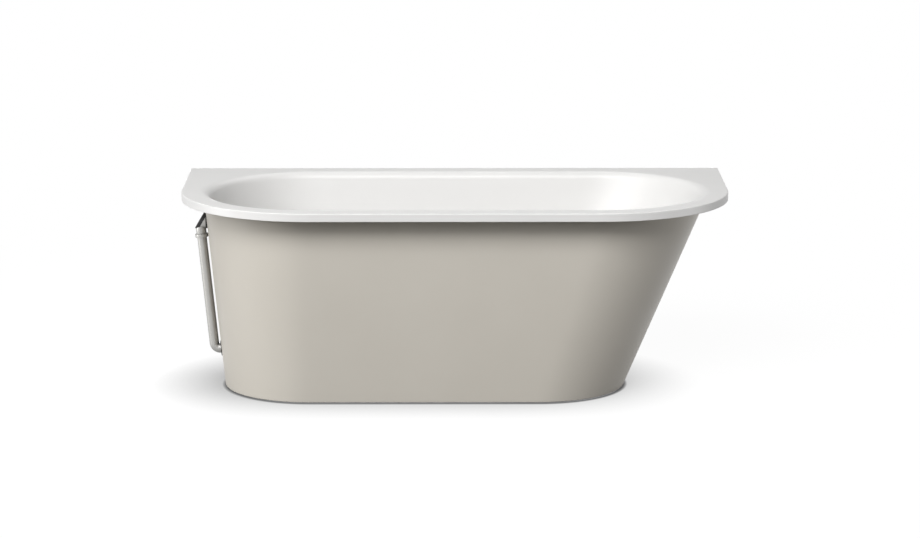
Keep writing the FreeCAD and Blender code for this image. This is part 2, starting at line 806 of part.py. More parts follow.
def plug_cap():
    """Domed cap of the press plug."""
    edge_z = plug_cap_edge
    top_z = plug_cap_edge + plug_cap_dome
    curve = (plug_cap_radius ** 2 + plug_cap_dome ** 2) / (2 * plug_cap_dome)
    half = plug_cap_radius / 2
    half_z = top_z - curve + math.sqrt(curve ** 2 - half ** 2)
    outline = Part.Wire([
        Part.LineSegment(vec(0, 0, 0), vec(plug_cap_radius, 0, 0)).toShape(),
        Part.LineSegment(vec(plug_cap_radius, 0, 0), vec(plug_cap_radius, 0, edge_z)).toShape(),
        Part.Arc(vec(plug_cap_radius, 0, edge_z), vec(half, 0, half_z), vec(0, 0, top_z)).toShape(),
        Part.LineSegment(vec(0, 0, top_z), vec(0, 0, 0)).toShape(),
    ])
    body = Part.Face(outline).revolve(vec(0, 0, 0), Z_AXIS, full_turn)
    body.translate(vec(drain_x, 0, plug_cap_underside))
    return body


def plug_seal():
    """Rubber washer under the cap, which closes on the waste flange."""
    start = vec(drain_x, 0, plug_seal_underside)
    return ring(plug_seal_radius, plug_stem_radius, start, Z_AXIS, plug_seal_thickness)


def plug_stem():
    """Round stem that runs down through the spider's hub."""
    start = vec(drain_x, 0, plug_cap_underside - plug_stem_length)
    return cylinder(plug_stem_radius, start, Z_AXIS, plug_stem_length)


def trap_head():
    """Upper half of the trap: a pot with a collar round the neck and a shouldered outlet towards the wall."""
    axis = vec(drain_x, 0, 0)
    neck_hole = waste_neck_radius + trap_turn_gap
    collar_top = trap_top + trap_collar_height
    body = turned([
        (0, trap_cup_seat), (trap_radius, trap_cup_seat), (trap_radius, trap_top),
        (trap_collar_radius, trap_top), (trap_collar_radius, collar_top), (0, collar_top),
    ], axis)
    outlet = vec(drain_x, 0, trap_outlet_z)
    outlet_end = trap_shoulder_reach + trap_outlet_length
    body = body.fuse(cylinder(trap_shoulder_radius, outlet, Y_AXIS, trap_shoulder_reach))
    body = body.fuse(cylinder(trap_outlet_radius, outlet, Y_AXIS, outlet_end))
    pot = cylinder(trap_radius - trap_wall, axis + Z_AXIS * (trap_cup_seat - overrun), Z_AXIS,
                   trap_top - trap_wall - trap_cup_seat + overrun)
    bore = cylinder(trap_outlet_radius - trap_outlet_wall, outlet, Y_AXIS, outlet_end + overrun)
    neck = cylinder(neck_hole, axis + Z_AXIS * trap_cup_seat, Z_AXIS, collar_top - trap_cup_seat + overrun)
    return body.cut(pot).cut(bore).cut(neck)


def trap_cup():
    """Lower half of the trap: a cup that screws off for cleaning."""
    inner = trap_radius - trap_wall
    floor_z = trap_bottom + trap_wall
    return turned([
        (0, trap_bottom), (inner, trap_bottom), (trap_radius, floor_z), (trap_radius, trap_cup_seat),
        (inner, trap_cup_seat), (inner, floor_z), (0, floor_z),
    ], vec(drain_x, 0, 0))


def trap_ring():
    """Grip ring round the joint of the trap's two halves."""
    start = vec(drain_x, 0, trap_cup_seat + trap_ring_overlap - trap_ring_height)
    body = prism(grip_sides + grip_sides, trap_ring_radius, start, Z_AXIS, trap_ring_height)
    return body.cut(cylinder(trap_radius + thread_fit, start - Z_AXIS * overrun, Z_AXIS, cut_through))


def trap_nut():
    """Union nut that hangs the trap on the waste's neck."""
    return union_nut(trap_nut_radius, trap_collar_radius + thread_fit, waste_neck_radius + trap_turn_gap,
                     trap_nut_lip, vec(drain_x, 0, trap_top), Z_AXIS, trap_nut_height)


def trap_seal():
    """Rubber ring that the union nut presses round the neck."""
    start = vec(drain_x, 0, trap_top + trap_collar_height)
    return ring(trap_collar_radius, waste_neck_radius + trap_seal_fit, start, Z_AXIS, trap_seal_height)


def tee_nut():
    """Union nut that holds the overflow pipe in the waste's inlet."""
    start = vec(drain_x - inlet_reach - tee_nut_lip - tee_seal_height + tee_nut_height, 0, pipe_low_height)
    inlet_radius = pipe_radius + pipe_fit + inlet_wall
    return union_nut(inlet_radius + tee_nut_wall, inlet_radius + thread_fit, pipe_radius + pipe_fit,
                     tee_nut_lip, start, X_AXIS * -1, tee_nut_height)


def tee_seal():
    """Rubber ring round the overflow pipe, between the inlet and its nut."""
    inlet_radius = pipe_radius + pipe_fit + inlet_wall
    start = vec(drain_x - inlet_reach, 0, pipe_low_height)
    return ring(inlet_radius, pipe_radius, start, X_AXIS * -1, tee_seal_height)


def collar_bottom():
    """The point of the pipe's axis where the collar starts, below the housing's nozzle."""
    nozzle_end = pipe_axis(overflow_z) + pipe_down * nozzle_length
    return nozzle_end + pipe_down * (collar_height - nozzle_in_collar)


def slant_block(set_in):
    """The space outside the housing's slanted face, moved inwards by an amount."""
    reach = housing_bottom_depth + housing_radius + overrun
    high = vec(housing_face - housing_top_depth, 0, overflow_z + housing_radius)
    low = vec(housing_face - housing_bottom_depth, 0, overflow_z - housing_radius)
    along = (high - low).normalize()
    outward = vec(-along.z, 0, along.x)
    start = low - along * reach - outward * set_in
    end = high + along * reach - outward * set_in
    side = vec(0, housing_radius + overrun, 0)
    corners = [start - side, end - side, end - side + outward * reach, start - side + outward * reach]
    return Part.Face(Part.makePolygon(corners + corners[:1])).extrude(side + side)


def housing_barrel():
    """The round outer form of the housing, longer than its slanted end."""
    face = vec(housing_face, 0, overflow_z)
    return cylinder(housing_radius, face, X_AXIS * -1, housing_bottom_depth + overrun)


def housing_nozzle():
    """The round stub under the housing, in line with the pipe."""
    return cylinder(nozzle_radius, pipe_axis(overflow_z), pipe_down, nozzle_length)


def housing_hollow():
    """The way of the water through the housing: the room inside it and the bore of its nozzle."""
    start = vec(housing_face + overrun, 0, overflow_z)
    reach = overrun + housing_bottom_depth + overrun
    room = cylinder(housing_radius - housing_wall, start, X_AXIS * -1, reach)
    bore = cylinder(pipe_radius - pipe_wall, pipe_axis(overflow_z), pipe_down, nozzle_length + overrun)
    return room.fuse(bore).cut(slant_block(housing_wall))


def overflow_cap():
    """Black cap that closes the slanted end of the housing, hollow like it."""
    band = housing_barrel().common(slant_block(housing_cap_depth)).cut(slant_block(0))
    return band.cut(housing_hollow())


def overflow_housing():
    """Round body on the skirt with a slanted end for the cap, a nozzle below and a bridge for the screw."""
    body = housing_barrel().fuse(housing_nozzle()).cut(slant_block(0))
    body = body.cut(housing_barrel().common(slant_block(housing_cap_depth))).cut(housing_hollow())
    hub_start = screw_at(housing_face)
    bridge_side = housing_radius - housing_wall / 2
    bridge_end = housing_face - housing_bridge_depth
    bridge_low = vec(bridge_end, -bridge_side, hub_start.z - housing_bridge_width / 2)
    bridge_high = vec(housing_face, bridge_side, hub_start.z + housing_bridge_width / 2)
    body = body.fuse(box_between(bridge_low, bridge_high))
    body = body.fuse(cylinder(housing_hub_radius, hub_start, rosette_axis * -1, housing_bridge_depth))
    thread_start = hub_start + rosette_axis * overrun
    return body.cut(cylinder(overflow_screw_radius, thread_start, rosette_axis * -1, overrun + overrun))


def screw_at(x):
    """The point of the overflow screw's axis at a place along X."""
    return rosette_centre + rosette_axis * ((x - rosette_centre.x) / rosette_axis.x)


def overflow_gasket():
    """Ring between the skirt and the housing, shaped to the skirt and notched for the nozzle."""
    start = vec(housing_face, 0, overflow_z)
    band = ring(housing_radius, overflow_hole_radius, start, X_AXIS, overrun)
    return band.cut(skirt_outer.solid()).cut(housing_nozzle())


def overflow_spacer():
    """Ring that fills the space between the two shells round the overflow hole."""
    start = overflow_centre
    band = ring(overflow_spacer_radius, overflow_hole_radius, start, X_AXIS, overrun + overrun)
    return band.common(skirt_inner.solid()).cut(bowl.solid())


def overflow_rosette():
    """Perforated cup over the overflow hole, shaped to the well's wall."""
    back = rosette_centre - rosette_axis * overrun
    height = overrun + rosette_rise
    body = cylinder(rosette_radius, back, rosette_axis, height)
    front_edge = max(body.Edges, key=lambda edge: edge.CenterOfMass.x)
    body = body.makeFillet(rosette_edge_round, [front_edge])
    body = body.cut(cylinder(rosette_radius - rosette_wall, back, rosette_axis, height - rosette_wall))
    across = Y_AXIS.cross(rosette_axis)
    for step in range(rosette_holes):
        angle = math.tau * step / rosette_holes
        spot = back + (Y_AXIS * math.cos(angle) + across * math.sin(angle)) * rosette_hole_circle
        body = body.cut(cylinder(rosette_hole_radius, spot, rosette_axis, height + overrun))
    body = body.cut(cylinder(overflow_screw_radius + screw_hole_gap, back, rosette_axis, height + overrun))
    return body.common(well.solid())


def overflow_screw():
    """Screw from the rosette to the housing's bridge, which clamps both shells."""
    seat = rosette_centre + rosette_axis * rosette_rise
    end = screw_at(housing_face) - rosette_axis * housing_bridge_depth
    head = cylinder(overflow_screw_head_radius, seat, rosette_axis, overflow_screw_head_height)
    return head.fuse(cylinder(overflow_screw_radius, seat, rosette_axis * -1, (seat - end).Length))


def overflow_collar():
    """Round nut between the housing's nozzle and the pipe."""
    start = collar_bottom()
    body = cylinder(collar_radius, start, pipe_down * -1, collar_height)
    below = start + pipe_down * overrun
    narrow = cylinder(pipe_radius + pipe_fit, below, pipe_down * -1, overrun + collar_height)
    wide_start = start - pipe_down * collar_lip
    wide = cylinder(nozzle_radius + thread_fit, wide_start, pipe_down * -1, collar_height + overrun)
    return body.cut(narrow).cut(wide)


def overflow_ferrule():
    """Soft ring round the pipe's end inside the collar."""
    start = collar_bottom() - pipe_down * collar_lip
    length = collar_height - collar_lip - nozzle_in_collar
    return ring(nozzle_radius, pipe_radius, start, pipe_down * -1, length)


def pipe_bar(radius):
    """A bent round bar along the overflow pipe: down the skirt and through it to the waste's inlet."""
    start = pipe_axis(overflow_z) + pipe_down * nozzle_length
    corner = pipe_axis(pipe_low_height)
    turn = math.pi / 2 - pipe_tilt
    tangent = pipe_bend_radius * math.tan(turn / 2)
    bend_start = corner - pipe_down * tangent
    bend_end = corner + X_AXIS * tangent
    centre = bend_end + Z_AXIS * pipe_bend_radius
    middle = centre + (corner - centre).normalize() * pipe_bend_radius
    end = vec(drain_x - waste_bowl_radius, 0, pipe_low_height)
    path = Part.Wire([
        Part.LineSegment(start, bend_start).toShape(),
        Part.Arc(bend_start, middle, bend_end).toShape(),
        Part.LineSegment(bend_end, end).toShape(),
    ])
    return path.makePipeShell([Part.Wire(Part.makeCircle(radius, start, pipe_down))], True, False)


def overflow_pipe():
    """Bent tube that carries overflow water to the waste."""
    return pipe_bar(pipe_radius).cut(pipe_bar(pipe_radius - pipe_wall))


def skirt_grommet():
    """Rubber ring in the skirt where the pipe goes in, with a flange on each face."""
    outer = skirt_outer.grown(grommet_flange_thickness).solid()
    inner = skirt_inner.grown(-grommet_flange_thickness).solid()
    start = pipe_axis(pipe_low_height)
    radius = pipe_radius + grommet_wall + grommet_flange
    band = ring(radius, pipe_radius, start, X_AXIS, cut_through)
    hole = cylinder(pipe_radius + grommet_wall, start, X_AXIS, cut_through)
    wall = skirt_outer.solid().cut(skirt_inner.solid()).cut(hole)
    return band.common(outer).cut(inner).cut(wall).cut(pipe_bar(pipe_radius))


def wall_bracket(side):
    """An angle under the rim's rear edge, with a hole for a wall screw."""
    middle = side * bracket_spacing / 2
    start = middle - bracket_width / 2
    end = middle + bracket_width / 2
    foot = box_between(vec(start, half_depth - bracket_foot, rim_underside - bracket_thickness),
                       vec(end, half_depth, rim_underside))
    leg = box_between(vec(start, half_depth - bracket_thickness, rim_underside - bracket_drop),
                      vec(end, half_depth, rim_underside))
    body = foot.fuse(leg).removeSplitter()
    corner = vec(middle, half_depth - bracket_thickness, rim_underside - bracket_thickness)
    bend = [edge for edge in body.Edges if edge.CenterOfMass.distanceToPoint(corner) < height_tolerance]
    body = body.makeFillet(bracket_bend, bend)
    hole = vec(middle, half_depth - overrun, rim_underside - bracket_hole_drop)
    body = body.cut(cylinder(bracket_hole_radius, hole, Y_AXIS, overrun + overrun))
    for seat in bracket_screw_seats():
        body = body.cut(clearance_hole(seat, Z_AXIS, bracket_thickness))
    return body


def build():
    """Every piece of the bathtub by its name."""
    pieces = {
        "basin": basin(),
        "skirt": skirt(),
        "floor_board": floor_board(),
        "rim_batten_front": rim_batten(-1),
        "rim_batten_rear": rim_batten(1),
        "rail_front": rail(-1),
        "rail_rear": rail(1),
        "tie_drain": tie(tie_drain_x),
        "tie_head": tie(tie_head_x),
        "board_screws": board_screws(),
        "block_screws": block_screws(),
        "bracket_screws": bracket_screws(),
        "foot_nuts_lower": foot_nuts(frame_top - channel_wall - foot_nut_height),
        "foot_nuts_upper": foot_nuts(frame_top),
        "waste_flange": waste_flange(),
        "waste_gasket_top": waste_gasket_top(),
        "waste_gasket_bottom": waste_gasket_bottom(),
        "waste_body": waste_body(),
        "plug_cap": plug_cap(),
        "plug_seal": plug_seal(),
        "plug_stem": plug_stem(),
        "trap_head": trap_head(),
        "trap_cup": trap_cup(),
        "trap_ring": trap_ring(),
        "trap_nut": trap_nut(),
        "trap_seal": trap_seal(),
        "tee_nut": tee_nut(),
        "tee_seal": tee_seal(),
        "overflow_housing": overflow_housing(),
        "overflow_cap": overflow_cap(),
        "overflow_gasket": overflow_gasket(),
        "overflow_spacer": overflow_spacer(),
        "overflow_rosette": overflow_rosette(),
        "overflow_screw": overflow_screw(),
        "overflow_collar": overflow_collar(),
        "overflow_ferrule": overflow_ferrule(),
        "overflow_pipe": overflow_pipe(),
        "skirt_grommet": skirt_grommet(),
        "wall_bracket_1": wall_bracket(-1),
        "wall_bracket_2": wall_bracket(1),
    }
    corners = [(x, side) for x in arm_places for side in (-1, 1)]
    for number, (x, side) in enumerate(corners, start=1):
        pieces[f"arm_{number}"] = arm(x, side)
        pieces[f"skirt_block_{number}"] = skirt_block(x, side)
        pieces[f"foot_pad_{number}"] = foot_pad(x, side)
        pieces[f"foot_stud_{number}"] = foot_stud(x, side)
    return pieces


def main():
    """Write one file for each piece."""
    os.makedirs("parts", exist_ok=True)
    for name, shape in build().items():
        shape.exportStep(f"parts/{name}.step")


if __name__ == "__main__":
    main()
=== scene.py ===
"""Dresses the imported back-to-wall bathtub and sets it in a plain white studio.

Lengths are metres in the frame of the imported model: the drain end with the overflow pipe is at -X, the
sloped head end at +X, the open front at -Y and the wall at +Y.
"""

import json
import logging
import math
from dataclasses import dataclass, field
from enum import Enum
from typing import Callable, Sequence

import bmesh
import bpy
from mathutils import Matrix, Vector

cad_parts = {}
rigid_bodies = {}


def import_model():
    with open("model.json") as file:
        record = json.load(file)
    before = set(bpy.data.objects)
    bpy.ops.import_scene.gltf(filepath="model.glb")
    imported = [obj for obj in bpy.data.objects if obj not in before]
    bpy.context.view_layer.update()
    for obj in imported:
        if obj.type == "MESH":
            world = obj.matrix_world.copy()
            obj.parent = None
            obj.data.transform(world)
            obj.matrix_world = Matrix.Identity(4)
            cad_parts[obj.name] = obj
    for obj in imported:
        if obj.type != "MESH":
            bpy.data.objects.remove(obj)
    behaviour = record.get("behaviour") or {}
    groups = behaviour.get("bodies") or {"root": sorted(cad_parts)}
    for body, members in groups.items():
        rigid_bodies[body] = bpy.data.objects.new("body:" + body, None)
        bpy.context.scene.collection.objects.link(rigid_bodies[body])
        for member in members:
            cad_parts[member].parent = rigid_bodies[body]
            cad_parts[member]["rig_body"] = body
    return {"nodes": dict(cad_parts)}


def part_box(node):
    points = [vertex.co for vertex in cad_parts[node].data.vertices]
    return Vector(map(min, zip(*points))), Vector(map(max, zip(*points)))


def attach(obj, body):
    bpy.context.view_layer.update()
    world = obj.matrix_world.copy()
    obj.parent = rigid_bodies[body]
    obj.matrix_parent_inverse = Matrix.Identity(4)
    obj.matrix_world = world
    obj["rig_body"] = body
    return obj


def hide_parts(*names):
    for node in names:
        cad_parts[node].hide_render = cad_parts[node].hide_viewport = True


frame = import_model()

LOG = logging.getLogger("bathtub")
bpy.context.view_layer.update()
WAY = "way"
CORNERS = range(1, 5)
MERGE_GAP = 0.000002
FLAT_ANGLE = math.radians(0.6)
EDGE_ANGLE = math.radians(38.0)
SHELL_SMOOTH_ANGLE = math.radians(32.0)
SOLID_SMOOTH_ANGLE = math.radians(40.0)
QUARTER = math.pi / 2.0
# Radians that a wave texture turns through in a metre at a scale of 1.
WAVE_RATE = 20.0
UP = Vector((0.0, 0.0, 1.0))

Ring = list[Vector]
PointAt = Callable[[bool, float], Vector]
Triple = tuple[float, float, float]
Socket = bpy.types.NodeSocket
Fitting = tuple[bpy.types.Object, list[Vector], list[Vector]]


class Slot(Enum):
    """Material slots of the record."""

    ACRYLIC = "acrylic_white"
    SKIRT = "skirt_grey"
    CHIPBOARD = "chipboard"
    PLYWOOD = "plywood"
    ZINC = "zinc_steel"
    BLACK = "black_plastic"
    WHITE = "white_plastic"
    RUBBER = "rubber"
    CHROME = "chrome"


class Channel(Enum):
    """Channel of a pattern's random colours that gives each cell its tone."""

    RED = "Red"
    GREEN = "Green"


class Roll(Enum):
    """Side of a wall on which a rounding's ball lies: inside, over a floor, or outside, under a plate."""

    INSIDE = -1
    OUTSIDE = 1


# Node trees


class Tree:
    """A node tree with short calls to add nodes and to set or join their inputs."""

    def __init__(self, tree: bpy.types.NodeTree) -> None:
        """Takes over a tree and empties it.

        Args:
            tree: The node tree to fill.
        """
        self.tree = tree
        self.tree.nodes.clear()
        self.ids: dict[str, str] = {}
        self.start: dict[str, Socket] = {}

    @classmethod
    def group(cls, name: str, kind: str, inputs: dict[str, str], outputs: dict[str, str]) -> "Tree":
        """Starts a node group, and keeps its inputs' identifiers in ids and their sockets in start.

        Args:
            name: The group's name.
            kind: Shader or Geometry.
            inputs: The type of each named input.
            outputs: The type of each named output.

        Returns:
            The tree.
        """
        tree = cls(bpy.data.node_groups.new(name, f"{kind}NodeTree"))
        for way, kinds in (("INPUT", inputs), ("OUTPUT", outputs)):
            for label, value in kinds.items():
                socket = tree.tree.interface.new_socket(
                    name=label, in_out=way, socket_type=f"NodeSocket{value}")
                if way == "INPUT":
                    tree.ids[label] = socket.identifier
        given = tree.add("NodeGroupInput").outputs
        tree.start = {label: given[label] for label in inputs}
        return tree

    def add(
            self, kind: str, inputs: dict[str | int, object] | None = None, **settings: object
    ) -> bpy.types.Node:
        """Adds a node.

        Args:
            kind: The node's type name.
            inputs: Values to set and sockets to join, by the input's name or number.
            settings: Attributes of the node, set by name.

        Returns:
            The new node.
        """
        node = self.tree.nodes.new(kind)
        for name, value in settings.items():
            setattr(node, name, value)
        for key, value in (inputs or {}).items():
            if isinstance(value, Socket):
                self.tree.links.new(value, node.inputs[key])
            else:
                node.inputs[key].default_value = value
        return node

    def calc(self, operation: str, *values: float | Socket) -> Socket:
        """Adds a sum on numbers or sockets and gives its result."""
        return self.add("ShaderNodeMath", dict(enumerate(values)), operation=operation).outputs["Value"]

    def place(self) -> Socket:
        """Adds the place on the object."""
        return self.add("ShaderNodeTexCoord").outputs["Object"]

    def stretched(self, scale: Triple, turn: Triple = (0.0, 0.0, 0.0)) -> Socket:
        """Adds the place on the object, turned and stretched."""
        inputs = {"Vector": self.place(), "Rotation": turn, "Scale": scale}
        return self.add("ShaderNodeMapping", inputs).outputs["Vector"]

    def noise(self, place: Socket, scale: float | Socket, **settings: float) -> Socket:
        """Adds a noise at a place and gives its value."""
        inputs = {"Vector": place, "Scale": scale, **settings}
        return self.add("ShaderNodeTexNoise", inputs).outputs["Fac"]

    def closed(self, result: Socket) -> "Tree":
        """Ends a geometry group: makes its instances real and gives them its material.

        Args:
            result: The socket with what the group made.

        Returns:
            The tree itself.
        """
        real = self.add("GeometryNodeRealizeInstances", {"Geometry": result})
        coat = self.add("GeometryNodeSetMaterial", {
            "Geometry": real.outputs["Geometry"], "Material": self.start["Material"]})
        self.add("NodeGroupOutput", {"Geometry": coat.outputs["Geometry"]})
        return self

    def run(self, piece: bpy.types.Object, values: dict[str, object]) -> None:
        """Runs a geometry group on a piece and keeps the result as its mesh.

        Args:
            piece: The object that holds the input.
            values: The value of each named input.
        """
        modifier = piece.modifiers.new(self.tree.name, "NODES")
        modifier.node_group = self.tree
        for name, value in values.items():
            modifier[self.ids[name]] = value
        freeze(piece)


def new_material(name: str) -> tuple[bpy.types.Material, Tree]:
    """Makes a material.

    Args:
        name: Its name.

    Returns:
        The material and its empty tree.
    """
    material = bpy.data.materials.new(name)
    material.use_nodes = True
    return material, Tree(material.node_tree)


def cloud_group() -> bpy.types.NodeTree:
    """Builds the group for slow changes over a surface: a mask and a value between two limits.

    Returns:
        The shader node group.
    """
    inputs = {"Scale": "Float", "Low": "Float", "High": "Float"}
    tree = Tree.group("slow cloud", "Shader", inputs, {"Mask": "Float", "Value": "Float"})
    noise = tree.noise(tree.place(), tree.start["Scale"], Detail=4.0, Roughness=0.55)
    spread = tree.add("ShaderNodeMapRange", {"Value": noise, "From Min": 0.32, "From Max": 0.68})
    mask = spread.outputs["Result"]
    limits = tree.add("ShaderNodeMapRange", {
        "Value": mask, "To Min": tree.start["Low"], "To Max": tree.start["High"]})
    tree.add("NodeGroupOutput", {"Mask": mask, "Value": limits.outputs["Result"]})
    return tree.tree


def peel_group() -> bpy.types.NodeTree:
    """Builds the group for the fine unevenness of a moulded or sprayed surface.

    Returns:
        The shader node group.
    """
    grit_scale = 1400.0
    tree = Tree.group("fine peel", "Shader", {"Scale": "Float", "Grit": "Float"}, {"Height": "Float"})
    soft = tree.noise(tree.place(), tree.start["Scale"], Detail=2.0)
    grit = tree.noise(tree.place(), grit_scale, Detail=1.0)
    total = tree.calc("ADD", soft, tree.calc("MULTIPLY", grit, tree.start["Grit"]))
    tree.add("NodeGroupOutput", {"Height": total})
    return tree.tree


# Finishes


@dataclass(frozen=True)
class Groups:
    """The shader node groups that the finishes share."""

    cloud: bpy.types.NodeTree = field(default_factory=cloud_group)
    peel: bpy.types.NodeTree = field(default_factory=peel_group)


@dataclass(frozen=True)
class Finish:
    """A surface with slow changes of colour and gloss and a fine peel."""

    name: str
    pale: Triple
    deep: Triple
    gloss: tuple[float, float]
    cloud_scale: float = 6.0
    peel_scale: float = 160.0
    peel_grit: float = 0.3
    peel_depth: float = 0.05
    peel_distance: float = 0.0004
    metallic: float = 0.0
    ior: float = 1.5

    def material(self, groups: Groups) -> bpy.types.Material:
        """Builds the material.

        Args:
            groups: The shared shader node groups.

        Returns:
            The finished material.
        """
        material, tree = new_material(self.name)
        low, high = self.gloss
        cloud = tree.add(
            "ShaderNodeGroup", {"Scale": self.cloud_scale, "Low": low, "High": high}, node_tree=groups.cloud)
        bump = tree.add("ShaderNodeBump", {
            "Strength": self.peel_depth, "Distance": self.peel_distance, "Height": self.height(tree, groups)})
        shader = tree.add("ShaderNodeBsdfPrincipled", {
            "Base Color": self.mixed(tree, self.tone(tree, cloud.outputs["Mask"])),
            "Roughness": cloud.outputs["Value"], "Metallic": self.metallic, "IOR": self.ior,
            "Normal": bump.outputs["Normal"]})
        tree.add("ShaderNodeOutputMaterial", {"Surface": shader.outputs["BSDF"]})
        return material

    def mixed(self, tree: Tree, factor: Socket) -> Socket:
        """Mixes the two colours.

        Args:
            tree: The material's tree.
            factor: The share of the deep colour.

        Returns:
            The colour socket.
        """
        mix = tree.add("ShaderNodeMix", {"Factor": factor}, data_type="RGBA")
        first, second = (socket for socket in mix.inputs if socket.type == "RGBA")
        first.default_value, second.default_value = (*self.pale, 1.0), (*self.deep, 1.0)
        return next(socket for socket in mix.outputs if socket.type == "RGBA")

    def tone(self, tree: Tree, mask: Socket) -> Socket:
        """Gives the share of the deep colour, which is the slow mask unless a finish has a pattern."""
        return mask

    def height(self, tree: Tree, groups: Groups) -> Socket:
        """Gives the height of the fine unevenness."""
        inputs = {"Scale": self.peel_scale, "Grit": self.peel_grit}
        return tree.add("ShaderNodeGroup", inputs, node_tree=groups.peel).outputs["Height"]


@dataclass(frozen=True)
class CellFinish(Finish):
    """Chips or crystals that lie at random, each with its own tone."""

    cell_scale: float = 140.0
    cell_stretch: Triple = (1.0, 1.0, 1.0)
    channel: Channel = Channel.GREEN

    def tone(self, tree: Tree, mask: Socket) -> Socket:
        """Gives each cell its own tone.

        Args:
            tree: The material's tree.
            mask: The slow mask, which isn't needed here.

        Returns:
            The tone's socket.
        """
        cells = tree.add("ShaderNodeTexVoronoi", {
            "Vector": tree.stretched(self.cell_stretch), "Scale": self.cell_scale})
        parts = tree.add("ShaderNodeSeparateColor", {"Color": cells.outputs["Color"]})
        return parts.outputs[self.channel.value]


@dataclass(frozen=True)
class PlyFinish(Finish):
    """Plywood: thin level layers in two tones, with long grain inside each."""

    layer: float = 0.0045
    wobble: float = 0.6
    grain_scale: float = 420.0
    grain_stretch: Triple = (0.06, 1.0, 1.0)

    def tone(self, tree: Tree, mask: Socket) -> Socket:
        """Gives the layers their tones by height, broken up by grain along X.

        Args:
            tree: The material's tree.
            mask: The slow mask, which isn't needed here.

        Returns:
            The tone's socket.
        """
        scale = math.tau / WAVE_RATE / self.layer
        layers = tree.add(
            "ShaderNodeTexWave", {"Vector": tree.place(), "Scale": scale, "Distortion": self.wobble},
            wave_type="BANDS", bands_direction="Z")
        grain = tree.noise(tree.stretched(self.grain_stretch), self.grain_scale)
        return tree.calc("MULTIPLY", layers.outputs["Fac"], grain)


@dataclass(frozen=True)
class StrandFinish(Finish):
    """Chopped glass strands under resin, as on the back of a moulded shell."""

    strand_scale: float = 270.0
    strand_stretch: Triple = (0.12, 1.0, 1.0)
    strand_turns: tuple[float, float] = (0.6, 2.1)

    def strands(self, tree: Tree) -> Socket:
        """Adds crossing strands from two stretched noises.

        Args:
            tree: The material's tree.

        Returns:
            The pattern's value socket.
        """
        ways = [tree.stretched(self.strand_stretch, (turn, turn / 2.0, turn)) for turn in self.strand_turns]
        return tree.calc("MAXIMUM", *(tree.noise(way, self.strand_scale, Detail=1.0) for way in ways))

    def tone(self, tree: Tree, mask: Socket) -> Socket:
        """Gives the tone of the strands."""
        return self.strands(tree)

    def height(self, tree: Tree, groups: Groups) -> Socket:
        """Gives the height of the strands."""
        return self.strands(tree)


FINISHES: dict[Slot, Finish] = {
    Slot.ACRYLIC: Finish(
        "satin white acrylic", (0.80, 0.794, 0.782), (0.78, 0.774, 0.762), (0.34, 0.42),
        cloud_scale=2.5, peel_scale=38.0, peel_grit=0.02, peel_depth=0.02, ior=1.45),
    Slot.SKIRT: Finish(
        "satin warm grey shell", (0.628, 0.593, 0.530), (0.608, 0.573, 0.510), (0.36, 0.46),
        cloud_scale=3.0, peel_scale=420.0, peel_grit=0.25, peel_depth=0.06, ior=1.46),
    Slot.CHROME: Finish(
        "satin chrome", (0.44, 0.435, 0.42), (0.395, 0.39, 0.375), (0.4, 0.5),
        cloud_scale=26.0, peel_scale=300.0, peel_grit=0.6, peel_depth=0.03, metallic=1.0),
    Slot.ZINC: CellFinish(
        "zinc plated steel", (0.56, 0.57, 0.58), (0.43, 0.44, 0.46), (0.3, 0.46),
        cloud_scale=30.0, peel_scale=240.0, peel_grit=0.6, metallic=1.0),
    Slot.CHIPBOARD: CellFinish(
        "pressed wood chips", (0.56, 0.42, 0.26), (0.27, 0.175, 0.09), (0.62, 0.8),
        peel_scale=500.0, peel_grit=0.6, peel_depth=0.35,
        cell_scale=260.0, cell_stretch=(0.35, 1.0, 1.6), channel=Channel.RED),
    Slot.PLYWOOD: PlyFinish(
        "plywood", (0.60, 0.43, 0.25), (0.30, 0.18, 0.09), (0.5, 0.68),
        peel_scale=600.0, peel_grit=0.5, peel_depth=0.2),
    Slot.BLACK: Finish(
        "black moulded plastic", (0.022, 0.022, 0.024), (0.034, 0.034, 0.035), (0.38, 0.54),
        cloud_scale=40.0, peel_scale=700.0, peel_grit=0.7, peel_depth=0.12),
    Slot.WHITE: Finish(
        "white moulded plastic", (0.78, 0.78, 0.765), (0.74, 0.738, 0.72), (0.3, 0.44),
        cloud_scale=40.0, peel_scale=500.0, peel_grit=0.5, peel_depth=0.1),
    Slot.RUBBER: Finish(
        "black rubber", (0.018, 0.018, 0.018), (0.03, 0.029, 0.028), (0.62, 0.82),
        cloud_scale=60.0, peel_scale=900.0, peel_grit=0.8, peel_depth=0.2),
}
LAMINATE = StrandFinish(
    "glass strand laminate", (0.52, 0.50, 0.42), (0.70, 0.68, 0.60), (0.32, 0.5),
    cloud_scale=9.0, peel_depth=0.35, peel_distance=0.0006)


class Paint:
    """The materials of every finish, built once."""

    def __init__(self) -> None:
        """Builds all the materials."""
        groups = Groups()
        self.by_slot = {slot: finish.material(groups) for slot, finish in FINISHES.items()}
        self.laminate = LAMINATE.material(groups)


# Meshes


def linked(name: str, data: bpy.types.ID) -> bpy.types.Object:
    """Makes an object at the origin and links it to the scene.

    Args:
        name: Its name.
        data: Its mesh, lamp or camera.

    Returns:
        The object.
    """
    thing = bpy.data.objects.new(name, data)
    bpy.context.scene.collection.objects.link(thing)
    return thing


def new_piece(name: str, points: Sequence[Vector], faces: Sequence[Sequence[int]]) -> bpy.types.Object:
    """Makes a mesh object.

    Args:
        name: Its name.
        points: Its vertices.
        faces: Vertex numbers of each face.

    Returns:
        The object.
    """
    mesh = bpy.data.meshes.new(name)
    mesh.from_pydata([tuple(point) for point in points], [], [tuple(face) for face in faces])
    return linked(name, mesh)


